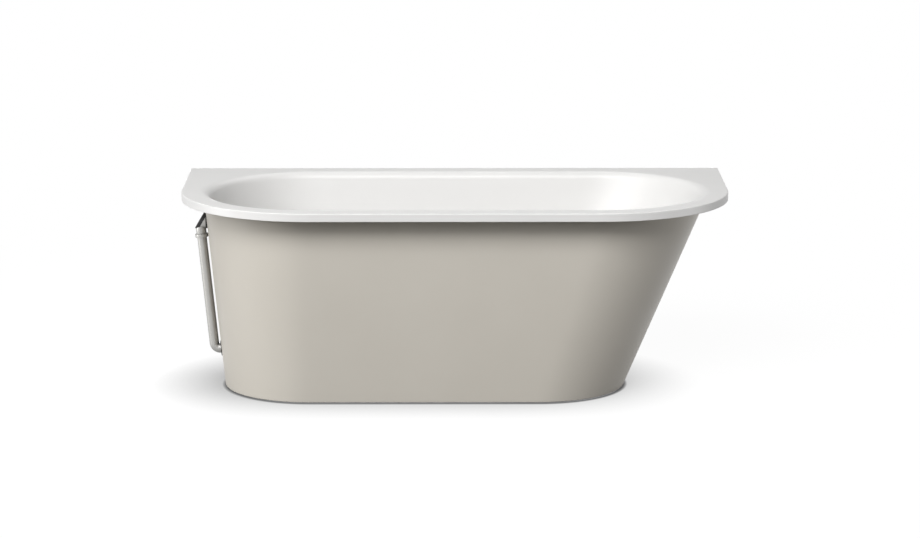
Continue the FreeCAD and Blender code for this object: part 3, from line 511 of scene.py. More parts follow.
def freeze(piece: bpy.types.Object) -> None:
    """Turns what the modifiers give into the piece's own plain mesh, and removes them.

    Args:
        piece: The object with live modifiers.
    """
    graph = bpy.context.evaluated_depsgraph_get()
    mesh = bpy.data.meshes.new_from_object(piece.evaluated_get(graph), depsgraph=graph)
    mesh.name = piece.name
    piece.modifiers.clear()
    piece.data = mesh


def smooth(piece: bpy.types.Object, angle: float = SHELL_SMOOTH_ANGLE) -> None:
    """Shades a piece smooth except at sharp edges.

    Args:
        piece: The object.
        angle: The angle from which an edge is sharp.
    """
    for polygon in piece.data.polygons:
        polygon.use_smooth = True
    piece.data.set_sharp_from_angle(angle=angle)


def drop(piece: bpy.types.Object) -> None:
    """Removes a helper object and its data from the scene.

    Args:
        piece: The helper.
    """
    data = piece.data
    bpy.data.objects.remove(piece)
    if data.users == 0:
        bpy.data.meshes.remove(data)


def prism(first: Sequence[Vector], second: Sequence[Vector]) -> bpy.types.Object:
    """Makes a closed helper between two outlines, counterclockwise as seen from the second.

    Args:
        first: The outline at one end.
        second: The outline at the other end, with as many points.

    Returns:
        The helper object.
    """
    count = len(first)
    after = [*range(1, count), 0]
    faces = [[step, after[step], count + after[step], count + step] for step in range(count)]
    faces += [list(range(count))[::-1], list(range(count, 2 * count))]
    return new_piece("cutting tool", [*first, *second], faces)


def bar_tool(radius: float, start: Vector, end: Vector, sides: int = 64) -> bpy.types.Object:
    """Makes a closed round bar to cut with.

    Args:
        radius: Its radius.
        start: Middle of its first end.
        end: Middle of its second end.
        sides: How many sides it has.

    Returns:
        The helper object.
    """
    along = (end - start).normalized()
    side = along.orthogonal().normalized()
    other = along.cross(side)
    turns = [math.tau * step / sides for step in range(sides)]
    arms = [side * math.cos(turn) * radius + other * math.sin(turn) * radius for turn in turns]
    return prism([start + arm for arm in arms], [end + arm for arm in arms])


def apply_tools(piece: bpy.types.Object, *tools: tuple[str, bpy.types.Object]) -> None:
    """Cuts or joins helper objects into a piece and removes them.

    Args:
        piece: The object to change.
        tools: Pairs of the operation's name and the helper object.
    """
    for operation, tool in tools:
        change = piece.modifiers.new(operation, "BOOLEAN")
        change.operation = operation
        change.solver = "EXACT"
        change.object = tool
    freeze(piece)
    for _, tool in tools:
        drop(tool)


def node_body(node: str) -> str:
    """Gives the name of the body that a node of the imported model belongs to."""
    return str(frame["nodes"][node]["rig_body"])


def settle(piece: bpy.types.Object, slot: Slot, nodes: Sequence[str]) -> None:
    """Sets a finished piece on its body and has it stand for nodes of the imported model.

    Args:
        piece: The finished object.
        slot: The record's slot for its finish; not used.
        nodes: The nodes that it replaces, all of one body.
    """
    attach(piece, node_body(nodes[0]))
    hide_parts(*nodes)
    LOG.info("%s stands for %s, %d faces", piece.name, ", ".join(nodes), len(piece.data.polygons))


@dataclass(frozen=True)
class Edge:
    """Finish, and width and steps of the rounded edges, of a piece that keeps its solid's shape."""

    slot: Slot
    width: float
    steps: int = 2


@dataclass
class Assembly:
    """A sub-assembly, which is dressed with the shared materials."""

    paint: Paint

    def copy(self, node: str, edge: Edge) -> None:
        """Replaces a node by a copy with its flat faces merged and its edges rounded.

        Args:
            node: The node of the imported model.
            edge: Its finish and rounding.
        """
        mesh = frame["nodes"][node].data.copy()
        mesh.materials.clear()
        mesh.materials.append(self.paint.by_slot[edge.slot])
        work = bmesh.new()
        work.from_mesh(mesh)
        bmesh.ops.remove_doubles(work, verts=work.verts, dist=MERGE_GAP)
        bmesh.ops.dissolve_limit(work, angle_limit=FLAT_ANGLE, verts=work.verts, edges=work.edges)
        for face in work.faces:
            face.material_index = 0
        work.to_mesh(mesh)
        work.free()
        piece = linked(f"{node}.finished", mesh)
        bevel = piece.modifiers.new("edge", "BEVEL")
        bevel.width = edge.width
        bevel.segments = edge.steps
        bevel.limit_method = "ANGLE"
        bevel.angle_limit = EDGE_ANGLE
        bevel.use_clamp_overlap = True
        bevel.harden_normals = False
        freeze(piece)
        smooth(piece, SOLID_SMOOTH_ANGLE)
        settle(piece, edge.slot, [node])

    def copies(self, edges: dict[str, Edge]) -> None:
        """Replaces several nodes by copies with rounded edges."""
        for node, edge in edges.items():
            self.copy(node, edge)

    def fasten(self, node: str, fastener: "Screw | Nut") -> None:
        """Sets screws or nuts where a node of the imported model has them.

        Args:
            node: The node with the fasteners.
            fastener: Their kind.
        """
        shape, seats, ways = fastener.fit(node)
        piece = new_piece(f"{node}.finished", seats, [])
        attribute = piece.data.attributes.new(WAY, "FLOAT_VECTOR", "POINT")
        attribute.data.foreach_set("vector", [value for way in ways for value in way])
        fastener_tree().run(piece, {"Fastener": shape, "Material": self.paint.by_slot[Slot.ZINC]})
        drop(shape)
        settle(piece, Slot.ZINC, [node])


# Tapered ovals


@dataclass(frozen=True)
class Oval:
    """A level outline with straight sides and round ends; drain and head are its reach along -X and +X."""

    drain: float
    head: float
    half_width: float

    def grown(self, drain: float, head: float, side: float) -> "Oval":
        """Gives the same oval, larger at its ends and sides."""
        return Oval(self.drain + drain, self.head + head, self.half_width + side)


@dataclass(frozen=True)
class Taper:
    """A body that runs straight from a low oval to a high one."""

    low: Oval
    high: Oval
    low_z: float
    high_z: float

    def grown(self, by: float, down: float = 0.0) -> "Taper":
        """Gives the same taper, larger all round and lower."""
        low, high = self.low.grown(by, by, by), self.high.grown(by, by, by)
        return Taper(low, high, self.low_z - down, self.high_z - down)

    def at(self, z: float) -> Oval:
        """Gives the outline at a height.

        Args:
            z: The height.

        Returns:
            The outline.
        """
        share = (z - self.low_z) / (self.high_z - self.low_z)
        low, high = self.low, self.high
        return low.grown(
            share * (high.drain - low.drain), share * (high.head - low.head),
            share * (high.half_width - low.half_width))

    def end_circle(self, head: bool, z: float) -> tuple[float, float]:
        """Gives a round end at a height.

        Args:
            head: Whether it is the head end.
            z: The height.

        Returns:
            The X of its middle, and its radius.
        """
        oval = self.at(z)
        middle = oval.head - oval.half_width if head else oval.half_width - oval.drain
        return middle, oval.half_width

    def on_wall(self, head: bool, turn: float, z: float) -> Vector:
        """Gives the point of an end's wall at a height, in the direction of the wall's level normal."""
        middle, radius = self.end_circle(head, z)
        return Vector((middle + radius * math.cos(turn), radius * math.sin(turn), z))

    def rounding(
            self, head: bool, turn: float, plane_z: float, radius: float, roll: Roll, share: float
    ) -> Vector:
        """Gives a point of the rounding that a rolling ball leaves between the wall and a level plane.

        Args:
            head: Whether it is the head end.
            turn: The direction of the wall's level normal.
            plane_z: Height of the plane.
            radius: Radius of the ball.
            roll: Side of the wall on which the ball lies.
            share: 0 at the plane and 1 at the wall.

        Returns:
            The point.
        """
        reach = roll.value * radius
        ball_z = plane_z - reach
        middle, width = self.end_circle(head, ball_z)
        high_middle, high_width = self.end_circle(head, ball_z + 1.0)
        middle_slope = high_middle - middle
        slope = middle_slope * math.cos(turn) + high_width - width
        steep = math.hypot(1.0, slope)
        angle = share * math.atan2(1.0, slope)
        offset = middle * math.cos(turn) + width + reach * (steep - math.sin(angle))
        along = -math.sin(turn) * (middle + reach * slope * middle_slope / steep)
        normal = Vector((math.cos(turn), math.sin(turn), 0.0))
        across = Vector((-math.sin(turn), math.cos(turn), 0.0))
        return normal * offset + across * along + UP * (ball_z + reach * math.cos(angle))


@dataclass(frozen=True)
class Rounds:
    """How finely the rings round the bathtub, and the runs between them, are divided."""

    arc: int = 56
    side: int = 24
    floor: int = 18
    lip: int = 14
    wall: int = 12
    rim_edge: int = 6
    lip_foot: int = 4
    back_floor: int = 12
    back_lip: int = 8
    back_wall: int = 8
    flange: int = 8
    skirt: int = 14
    skirt_back: int = 10
    service_corner: int = 12

    def ring(self, point_at: PointAt) -> Ring:
        """Gives one ring of points, counterclockwise from above, starting at the front of the head end.

        Args:
            point_at: The point for an end and a direction.

        Returns:
            The points.
        """
        turns = [math.pi * step / self.arc for step in range(self.arc + 1)]
        head = [point_at(True, turn - QUARTER) for turn in turns]
        drain = [point_at(False, turn + QUARTER) for turn in turns]
        return head + self.between(head[-1], drain[0]) + drain + self.between(drain[-1], head[0])

    def between(self, start: Vector, end: Vector) -> Ring:
        """Gives the points of a straight side between its two ends, without them."""
        return [start.lerp(end, step / self.side) for step in range(1, self.side)]


def run(start: Ring, end: Ring, steps: int) -> list[Ring]:
    """Gives rings in even steps after one ring, up to and with another."""
    shares = [step / steps for step in range(1, steps + 1)]
    return [[low.lerp(high, share) for low, high in zip(start, end)] for share in shares]


def moved(ring: Ring, towards: Ring, by: float) -> Ring:
    """Gives a ring moved by a length towards the matching points of another."""
    return [point + (aim - point).normalized() * by for point, aim in zip(ring, towards)]


def ring_piece(name: str, rings: Sequence[Ring], closed: bool) -> bpy.types.Object:
    """Makes a piece with faces between neighbouring rings, row by row.

    Args:
        name: The piece's name.
        rings: Rings of one length: from the inside over the top to the outside or, if closed, up the outside
            and down the inside.
        closed: Whether the last ring joins the first; otherwise both get a flat face.

    Returns:
        The object.
    """
    count = len(rings[0])
    rows = [count * row for row in range(len(rings))]
    pairs = list(zip(rows, rows[1:] + rows[:1])) if closed else list(zip(rows, rows[1:]))
    after = [*range(1, count), 0]
    faces = [
        [low + after[step], low + step, high + step, high + after[step]]
        for low, high in pairs for step in range(count)
    ]
    if closed:
        faces = [face[::-1] for face in faces]
    else:
        faces += [list(range(count)), list(range(rows[-1], rows[-1] + count))[::-1]]
    return new_piece(name, [point for ring in rings for point in ring], faces)


# Sub-assemblies


@dataclass
class Shells(Assembly):
    """The acrylic basin with its rim, and the skirt round it."""

    length: float = 1.6
    depth: float = 0.75
    height: float = 0.58
    rim_lip: float = 0.024
    rim_corner_radius: float = 0.385
    rim_edge_round: float = 0.003
    lip_foot_round: float = 0.0012
    rim_strip_drain: float = 0.082
    rim_strip_head: float = 0.075
    rim_strip_side: float = 0.072
    wall: float = 0.005
    well_lean_drain: float = 0.075
    well_lean_head: float = 0.252
    well_lean_side: float = 0.065
    well_floor: float = 0.15
    floor_radius: float = 0.09
    floor_line_share: float = 0.7
    floor_inset: float = 0.004
    lip_radius: float = 0.024
    lip_spread: float = 0.011
    skirt_gap: float = 0.001
    skirt_gap_drain: float = 0.006
    skirt_gap_head: float = 0.0065
    skirt_lean_drain: float = 0.055
    skirt_lean_head: float = 0.236
    skirt_lean_side: float = 0.055
    skirt_floor_gap: float = 0.004
    flange_fit: float = 0.0005
    flange_radius: float = 0.008
    skirt_edge_round: float = 0.0012
    support: float = 0.0015
    overrun: float = 0.05
    drain_inset: float = 0.263
    drain_hole_radius: float = 0.026
    drain_recess_radius: float = 0.0355
    drain_recess_depth: float = 0.003
    drain_boss_radius: float = 0.046
    drain_boss_height: float = 0.004
    overflow_drop: float = 0.09
    overflow_hole_radius: float = 0.02
    service_to_drain_end: float = 0.11
    service_to_head_end: float = 0.21
    service_height: float = 0.26
    service_round: float = 0.04
    service_cut_start: float = 0.12
    service_cut_end: float = 0.5
    pipe_hole_radius: float = 0.017
    pipe_low_height: float = 0.106
    pipe_cut_start: float = -0.9
    pipe_cut_end: float = -0.55
    rounds: Rounds = field(default_factory=Rounds)

    def __post_init__(self) -> None:
        """Works out the tapers of the well, of its outside and of the skirt."""
        outline = Oval(self.length / 2.0, self.length / 2.0, self.depth / 2.0)
        high = outline.grown(-self.rim_strip_drain, -self.rim_strip_head, -self.rim_strip_side)
        low = high.grown(-self.well_lean_drain, -self.well_lean_head, -self.well_lean_side)
        self.well = Taper(low, high, self.well_floor, self.height)
        self.bowl = self.well.grown(self.wall, down=self.wall)
        self.rim_underside = self.height - self.rim_lip
        self.sheet_underside = self.height - self.wall
        self.skirt = self.skirt_taper()
        self.drain_x = self.drain_inset - low.drain
        self.overflow_z = self.height - self.overflow_drop

    def skirt_taper(self) -> Taper:
        """Gives the outer face of the skirt, set off from the outside of the well.

        Returns:
            The skirt's taper.
        """
        top = self.rim_underside + self.wall
        bend = self.lip_radius - self.wall
        rise = top - self.sheet_underside + bend
        side = bend - math.sqrt(bend ** 2 - rise ** 2) + self.skirt_gap + self.wall
        high = self.bowl.at(top).grown(side + self.skirt_gap_drain, side + self.skirt_gap_head, side)
        low = high.grown(-self.skirt_lean_drain, -self.skirt_lean_head, -self.skirt_lean_side)
        return Taper(low, high, self.skirt_floor_gap, top)

    def rim_ring(self, inset: float, z: float) -> Ring:
        """Gives a ring on the rim's outline: square at the wall, two large corners in front.

        Args:
            inset: How far it is set in from the outline.
            z: The height.

        Returns:
            The points, in step with the rings of the well.
        """
        reach = self.length / 2.0 - inset
        rear = self.depth / 2.0 - inset
        middle_x = self.length / 2.0 - self.rim_corner_radius
        middle_y = self.rim_corner_radius - self.depth / 2.0
        radius = self.rim_corner_radius - inset

        def point_at(head: bool, turn: float) -> Vector:
            """Gives a point of the outline.

            Args:
                head: Whether it is at the head end.
                turn: The direction of the wall's level normal.

            Returns:
                The point.
            """
            own = turn if head else math.pi - turn
            if own <= 0.0:
                x, y = middle_x + radius * math.cos(own), middle_y + radius * math.sin(own)
            elif own <= math.pi / 4.0:
                x, y = reach, middle_y + (rear - middle_y) * math.tan(own)
            else:
                x, y = middle_x + radius / math.tan(own), rear
            return Vector((x if head else -x, y, z))

        return self.rounds.ring(point_at)

    def rim_quarter(self, radius: float, middle_z: float, start: float, steps: int) -> list[Ring]:
        """Gives the rings of a quarter round on the rim's outline.

        Args:
            radius: Its radius.
            middle_z: Height of its middle.
            start: The angle at which it starts to turn down.
            steps: How many steps it has.

        Returns:
            The rings, from the highest to the lowest.
        """
        turns = [start - QUARTER * step / steps for step in range(steps + 1)]
        return [
            self.rim_ring(radius * (1.0 - math.cos(turn)), middle_z + radius * math.sin(turn))
            for turn in turns
        ]

    def rolled(
            self, taper: Taper, plane_z: float, radius: float, roll: Roll, steps: int, spread: float = 0.0
    ) -> list[Ring]:
        """Gives the rings of a rounding from the plane to the wall.

        Args:
            taper: The body whose wall is met.
            plane_z: Height of the plane.
            radius: Radius of the rounding.
            roll: Side of the wall on which the ball lies.
            steps: How many steps the rounding has.
            spread: How much further out it starts on the plane at the two ends.

        Returns:
            The rings, the first on the plane and the last on the wall.
        """
        def point_at(head: bool, turn: float, share: float) -> Vector:
            """Gives the rounding's point, moved out along X near the plane."""
            out = spread * math.cos(turn) * abs(math.cos(turn)) * (1.0 - share) ** 2
            return taper.rounding(head, turn, plane_z, radius, roll, share) + Vector((out, 0.0, 0.0))

        return [
            self.rounds.ring(lambda head, turn, share=step / steps: point_at(head, turn, share))
            for step in range(steps + 1)
        ]

    def basin_rings(self) -> tuple[list[Ring], int]:
        """Gives all rings of the basin, from the middle of its floor over the rim to its underside.

        Returns:
            The rings, and the number of the last ring before the rough back.
        """
        rounds, edge, foot = self.rounds, self.rim_edge_round, self.lip_foot_round
        floor = self.rolled(self.well, self.well_floor, self.floor_radius, Roll.INSIDE, rounds.floor)
        lip = self.rolled(
            self.well, self.height, self.lip_radius, Roll.OUTSIDE, rounds.lip, self.lip_spread)[::-1]
        floor_line = [Vector((point.x * self.floor_line_share, 0.0, point.z)) for point in floor[0]]
        rings = [moved(floor[0], floor_line, self.floor_inset)]
        rings += floor + run(floor[-1], lip[0], rounds.wall) + lip[1:]
        rings.append(moved(lip[-1], self.rim_ring(edge, self.height), self.support))
        rings.append(self.rim_ring(edge + self.support, self.height))
        rings += self.rim_quarter(edge, self.height - edge, QUARTER, rounds.rim_edge)
        rings.append(self.rim_ring(0.0, self.height - edge - self.support))
        rings.append(self.rim_ring(0.0, self.rim_underside + foot + self.support))
        rings += self.rim_quarter(foot, self.rim_underside + foot, 0.0, rounds.lip_foot)
        rings.append(self.rim_ring(self.wall, self.rim_underside))
        last = len(rings) - 1
        rings.append(self.rim_ring(self.wall, self.sheet_underside))
        back_lip = self.rolled(
            self.bowl, self.sheet_underside, self.lip_radius - self.wall, Roll.OUTSIDE, rounds.back_lip)
        back_floor = self.rolled(
            self.bowl, self.well_floor - self.wall, self.floor_radius + self.wall, Roll.INSIDE,
            rounds.back_floor)[::-1]
        rings += back_lip + run(back_lip[-1], back_floor[0], rounds.back_wall) + back_floor[1:]
        return rings, last

    def coat(self, piece: bpy.types.Object, slot: Slot, first: int, last: int) -> None:
        """Gives a shell its two materials.

        Args:
            piece: The shell.
            slot: The slot of its visible side.
            first: The first face of the rough back.
            last: The face after the last of the rough back.
        """
        piece.data.materials.append(self.paint.by_slot[slot])
        piece.data.materials.append(self.paint.laminate)
        for polygon in piece.data.polygons[first:last]:
            polygon.material_index = 1

    def basin(self) -> None:
        """Builds the basin with its drain recess, boss and overflow hole."""
        rings, last = self.basin_rings()
        count = len(rings[0])
        piece = ring_piece("basin.finished", rings, closed=False)
        self.coat(piece, Slot.ACRYLIC, last * count, (len(rings) - 1) * count)
        piece.data.polygons[-1].material_index = 1
        underside = self.well_floor - self.wall
        overflow = Vector((-self.well.at(self.overflow_z).drain, 0.0, self.overflow_z))
        aside = Vector((self.overrun, 0.0, 0.0))

        def drain_tool(radius: float, low: float, high: float) -> bpy.types.Object:
            """Makes an upright bar at the drain between two heights."""
            drain = Vector((self.drain_x, 0.0, 0.0))
            return bar_tool(radius, drain + UP * low, drain + UP * high)

        apply_tools(
            piece,
            ("UNION", drain_tool(
                self.drain_boss_radius, underside - self.drain_boss_height, underside + self.wall / 2.0)),
            ("DIFFERENCE", drain_tool(
                self.drain_recess_radius, self.well_floor - self.drain_recess_depth,
                self.well_floor + self.overrun)),
            ("DIFFERENCE", drain_tool(
                self.drain_hole_radius, self.well_floor - self.overrun, self.well_floor + self.overrun)),
            ("DIFFERENCE", bar_tool(self.overflow_hole_radius, overflow - aside, overflow + aside)),
        )
        smooth(piece)
        settle(piece, Slot.ACRYLIC, ["basin"])

    def service_tool(self) -> bpy.types.Object:
        """Makes the helper that cuts the doorway in the rear of the skirt.

        Returns:
            The helper object.
        """
        start = self.drain_x - self.service_to_drain_end
        end = self.drain_x + self.service_to_head_end
        radius, steps = self.service_round, self.rounds.service_corner
        middle_z = self.service_height - radius
        outline = [(start, -self.overrun), (end, -self.overrun)]
        for middle_x, first in ((end - radius, 0.0), (start + radius, QUARTER)):
            turns = [first + QUARTER * step / steps for step in range(steps + 1)]
            outline += [
                (middle_x + radius * math.cos(turn), middle_z + radius * math.sin(turn)) for turn in turns]
        return prism(
            [Vector((x, self.service_cut_end, z)) for x, z in outline],
            [Vector((x, self.service_cut_start, z)) for x, z in outline])

    def skirt_piece(self) -> None:
        """Builds the skirt with its flange, service opening and two pipe holes."""
        taper, rounds, edge = self.skirt, self.rounds, self.skirt_edge_round
        inner = taper.grown(-self.wall)

        def level(body: Taper, z: float) -> Ring:
            """Gives the ring of a taper's wall at a height."""
            return rounds.ring(lambda head, turn: body.on_wall(head, turn, z))

        def pipe_tool(radius: float, z: float) -> bpy.types.Object:
            """Makes the bar that cuts a hole for the pipe at a height."""
            return bar_tool(
                radius, Vector((self.pipe_cut_start, 0.0, z)), Vector((self.pipe_cut_end, 0.0, z)))

        flange = self.rolled(
            taper, self.rim_underside, self.flange_radius, Roll.OUTSIDE, rounds.flange)[::-1]
        foot_low, foot_high = level(taper.grown(-edge), taper.low_z), level(taper, taper.low_z + edge)
        flange_edge = self.wall + self.flange_fit
        rings = [foot_low, foot_high, level(taper, taper.low_z + edge + self.support)]
        rings += run(rings[-1], moved(flange[0], foot_high, self.support), rounds.skirt) + flange
        rings.append(moved(flange[-1], self.rim_ring(flange_edge, self.rim_underside), self.support))
        rings.append(self.rim_ring(flange_edge, self.rim_underside))
        rings.append(self.rim_ring(flange_edge, taper.high_z))
        rough = len(rings)
        rings.append(level(inner, taper.high_z))
        rings += run(rings[-1], level(inner, taper.low_z), rounds.skirt_back)
        count = len(rings[0])
        piece = ring_piece("skirt.finished", rings, closed=True)
        self.coat(piece, Slot.SKIRT, rough * count, (len(rings) - 1) * count)
        apply_tools(
            piece,
            ("DIFFERENCE", self.service_tool()),
            ("DIFFERENCE", pipe_tool(self.pipe_hole_radius, self.pipe_low_height)),
            ("DIFFERENCE", pipe_tool(self.overflow_hole_radius, self.overflow_z)),
        )
        smooth(piece)
        settle(piece, Slot.SKIRT, ["skirt"])

    def build(self) -> None:
        """Builds and dresses both shells."""
        self.basin()
        self.skirt_piece()


def sweep_tree() -> Tree:
    """Builds the geometry nodes for a round tube along a path with rounded corners.

    Returns:
        The node group's tree.
    """
    tree = Tree.group("tube along path", "Geometry", {
        "Geometry": "Geometry", "Tube Radius": "Float", "Bend Radius": "Float", "Bend Steps": "Int",
        "Sides": "Int", "Material": "Material"}, {"Geometry": "Geometry"})
    start = tree.start
    path = tree.add("GeometryNodeMeshToCurve", {"Mesh": start["Geometry"]})
    bend = tree.add("GeometryNodeFilletCurve", {
        "Curve": path.outputs["Curve"], "Radius": start["Bend Radius"], "Count": start["Bend Steps"]},
        mode="POLY")
    circle = tree.add("GeometryNodeCurvePrimitiveCircle", {
        "Resolution": start["Sides"], "Radius": start["Tube Radius"]})
    tube = tree.add("GeometryNodeCurveToMesh", {
        "Curve": bend.outputs["Curve"], "Profile Curve": circle.outputs["Curve"], "Fill Caps": True})
    return tree.closed(tube.outputs["Mesh"])


def rod_tree() -> Tree:
    """Builds the geometry nodes for a threaded rod on each point: a closed bar with a screw line cut into it.

    Returns:
        The node group's tree.
    """
    tree = Tree.group("threaded rod", "Geometry", {
        "Geometry": "Geometry", "Radius": "Float", "Groove": "Float", "Pitch": "Float", "Length": "Float",
        "Sides": "Int", "Rings": "Int", "Material": "Material"}, {"Geometry": "Geometry"})
    start, work = tree.start, tree.calc
    bar = tree.add("GeometryNodeMeshCylinder", {
        "Vertices": start["Sides"], "Side Segments": start["Rings"], "Radius": start["Radius"],
        "Depth": start["Length"]})
    place = tree.add("GeometryNodeInputPosition").outputs["Position"]
    x, y, z = tree.add("ShaderNodeSeparateXYZ", {"Vector": place}).outputs
    turns = work("DIVIDE", work("ARCTAN2", y, x), math.tau)
    line = work("FRACT", work("SUBTRACT", work("DIVIDE", z, start["Pitch"]), turns))
    groove = work("ABSOLUTE", work("SUBTRACT", work("MULTIPLY", line, 2.0), 1.0))
    half = work("DIVIDE", start["Length"], 2.0)
    to_end = work("DIVIDE", work("SUBTRACT", half, work("ABSOLUTE", z)), start["Pitch"])
    cut = work("MAXIMUM", groove, work("SUBTRACT", 1.0, to_end))
    share = work("DIVIDE", work("MULTIPLY", cut, start["Groove"]), start["Radius"])
    width = work("SUBTRACT", 1.0, share)
    whole = tree.add("ShaderNodeCombineXYZ", {
        "X": work("MULTIPLY", x, width), "Y": work("MULTIPLY", y, width), "Z": work("ADD", z, half)})
    rod = tree.add("GeometryNodeSetPosition", {
        "Geometry": bar.outputs["Mesh"], "Position": whole.outputs["Vector"]})
    stand = tree.add("GeometryNodeInstanceOnPoints", {
        "Points": start["Geometry"], "Instance": rod.outputs["Geometry"]})
    return tree.closed(stand.outputs["Instances"])


def fastener_tree() -> Tree:
    """Builds the geometry nodes that set a screw or nut on each point, turned the way that the point says.

    Returns:
        The node group's tree.
    """
    tree = Tree.group("fasteners on points", "Geometry", {
        "Geometry": "Geometry", "Fastener": "Object", "Material": "Material"}, {"Geometry": "Geometry"})
    shape = tree.add("GeometryNodeObjectInfo", {"Object": tree.start["Fastener"]})
    way = tree.add("GeometryNodeInputNamedAttribute", {"Name": WAY}, data_type="FLOAT_VECTOR")
    turn = tree.add("FunctionNodeAlignRotationToVector", {"Vector": way.outputs["Attribute"]}, axis="Z")
    stand = tree.add("GeometryNodeInstanceOnPoints", {
        "Points": tree.start["Geometry"], "Instance": shape.outputs["Geometry"],
        "Rotation": turn.outputs["Rotation"]})
    return tree.closed(stand.outputs["Instances"])


def islands(node: str) -> list[tuple[list[Vector], Vector, Vector]]:
    """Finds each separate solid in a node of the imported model.

    Args:
        node: The node.

    Returns:
        The points of each solid, and the lowest and highest corner of its box.
    """
    work = bmesh.new()
    work.from_mesh(frame["nodes"][node].data)
    bmesh.ops.remove_doubles(work, verts=work.verts, dist=MERGE_GAP)
    found = []
    known: set[bmesh.types.BMVert] = set()
    for first in work.verts:
        if first in known:
            continue
        known.add(first)
        group = [first]
        for point in group:
            others = {edge.other_vert(point) for edge in point.link_edges} - known
            known |= others
            group += others
        columns = list(zip(*(point.co for point in group)))
        low, high = (Vector([pick(column) for column in columns]) for pick in (min, max))
        found.append(([point.co.copy() for point in group], low, high))
    work.free()
    return found


@dataclass(frozen=True)
class Screw:
    """A wood screw with a domed head and a cross recess; its seat is at zero and its point towards +Z."""

    radius: float = 0.0025
    head_radius: float = 0.0055
    head_height: float = 0.003
    head_edge_share: float = 0.25
    dome_shares: tuple[float, ...] = (0.26, 0.48, 0.68, 0.86, 1.0)
    recess_reach: float = 0.0056
    recess_width: float = 0.0011
    recess_depth: float = 0.0017
    recess_floor_share: float = 0.5
    sides: int = 32

    def turned(self, profile: Sequence[tuple[float, float]]) -> bpy.types.Object:
        """Makes a closed shape turned about Z.

        Args:
            profile: Radius and height of each ring, the first and last on the axis.

        Returns:
            The helper object.
        """
        sides = self.sides
        points = [UP * profile[0][1], UP * profile[-1][1]]
        turns = [math.tau * step / sides for step in range(sides)]
        for radius, height in profile[1:-1]:
            points += [Vector((radius * math.cos(turn), radius * math.sin(turn), height)) for turn in turns]
        rows = [2 + sides * row for row in range(len(profile) - 2)]
        faces = []
        for step in range(sides):
            after = (step + 1) % sides
            faces.append([0, rows[0] + after, rows[0] + step])
            faces.append([1, rows[-1] + step, rows[-1] + after])
            for low, high in zip(rows, rows[1:]):
                faces.append([low + step, low + after, high + after, high + step])
        return new_piece("screw", points, faces)

    def shape(self, shank: float) -> bpy.types.Object:
        """Makes the screw.

        Args:
            shank: Length under its head.

        Returns:
            The helper object.
        """
        profile = [(0.0, -self.head_height)]
        for share in self.dome_shares:
            rise = self.head_edge_share + (1.0 - self.head_edge_share) * math.sqrt(1.0 - share ** 2)
            profile.append((self.head_radius * share, -self.head_height * rise))
        profile += [(self.head_radius, 0.0), (self.radius, 0.0)]
        profile += [(self.radius, shank - self.radius), (0.0, shank)]
        screw = self.turned(profile)
        apply_tools(screw, ("DIFFERENCE", self.recess(0.0)), ("DIFFERENCE", self.recess(QUARTER)))
        smooth(screw)
        return screw

    def recess(self, turn: float) -> bpy.types.Object:
        """Makes the helper that cuts one slot of the cross, narrower at its bottom, at an angle.

        Args:
            turn: The angle.

        Returns:
            The helper object.
        """
        along = Vector((math.cos(turn), math.sin(turn), 0.0)) * self.recess_reach / 2.0
        across = Vector((-math.sin(turn), math.cos(turn), 0.0)) * self.recess_width / 2.0

        def outline(height: float, size: float) -> Ring:
            """Gives the slot's corners at a height, with its length shrunk to a share."""
            corners = (
                -along * size - across, along * size - across, along * size + across, across - along * size)
            return [corner + UP * height for corner in corners]

        return prism(
            outline(-self.head_height - self.recess_depth, 1.0),
            outline(self.recess_depth - self.head_height, self.recess_floor_share))

    def fit(self, node: str) -> Fitting:
        """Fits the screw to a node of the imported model.

        Args:
            node: The node with the screws.

        Returns:
            The screw as a helper object, and where each one sits and points.
        """
        seats, ways = [], []
        shank = 0.0
        for points, low, high in islands(node):
            size, middle = high - low, (low + high) / 2.0
            axis = max(range(3), key=lambda index: size[index])
            far = size[axis] / 2.0 + self.radius / 2.0
            head = [point[axis] for point in points if (point - middle).length > far]
            way = Vector((0.0, 0.0, 0.0))
            way[axis] = -1.0 if sum(head) / len(head) > middle[axis] else 1.0
            shank = size[axis] - self.head_height
            seats.append(middle - way * (size[axis] / 2.0 - self.head_height))
            ways.append(way)
        return self.shape(shank), seats, ways


@dataclass(frozen=True)
class Nut:
    """A six-sided nut with turned corners; it stands on zero."""

    radius: float = 0.0105
    bore: float = 0.0061
    height: float = 0.008
    face_share: float = 0.97
    corner_slope: float = 0.5
    sides: int = 6
    side_steps: int = 8

    def shape(self) -> bpy.types.Object:
        """Makes the nut.

        Returns:
            The helper object.
        """
        flat = self.radius * math.cos(math.pi / self.sides)
        face = flat * self.face_share
        count = self.sides * self.side_steps
        columns = []
        for turn in (math.tau * step / count for step in range(count)):
            corner = flat / math.cos(turn % (math.tau / self.sides) - math.pi / self.sides)
            fall = (corner - face) * self.corner_slope
            lower = [(self.bore, 0.0), (face, 0.0), (corner, fall)]
            upper = [(reach, self.height - z) for reach, z in lower[::-1]]
            columns.append([
                Vector((reach * math.cos(turn), reach * math.sin(turn), z)) for reach, z in lower + upper])
        nut = ring_piece("nut", [list(ring) for ring in zip(*columns)], closed=True)
        smooth(nut)
        return nut

    def fit(self, node: str) -> Fitting:
        """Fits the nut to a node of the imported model.

        Args:
            node: The node with the nuts.

        Returns:
            The nut as a helper object, and where each one sits and points.
        """
        boxes = [(low, high) for _, low, high in islands(node)]
        seats = [Vector(((low.x + high.x) / 2.0, (low.y + high.y) / 2.0, low.z)) for low, high in boxes]
        return self.shape(), seats, [UP] * len(seats)


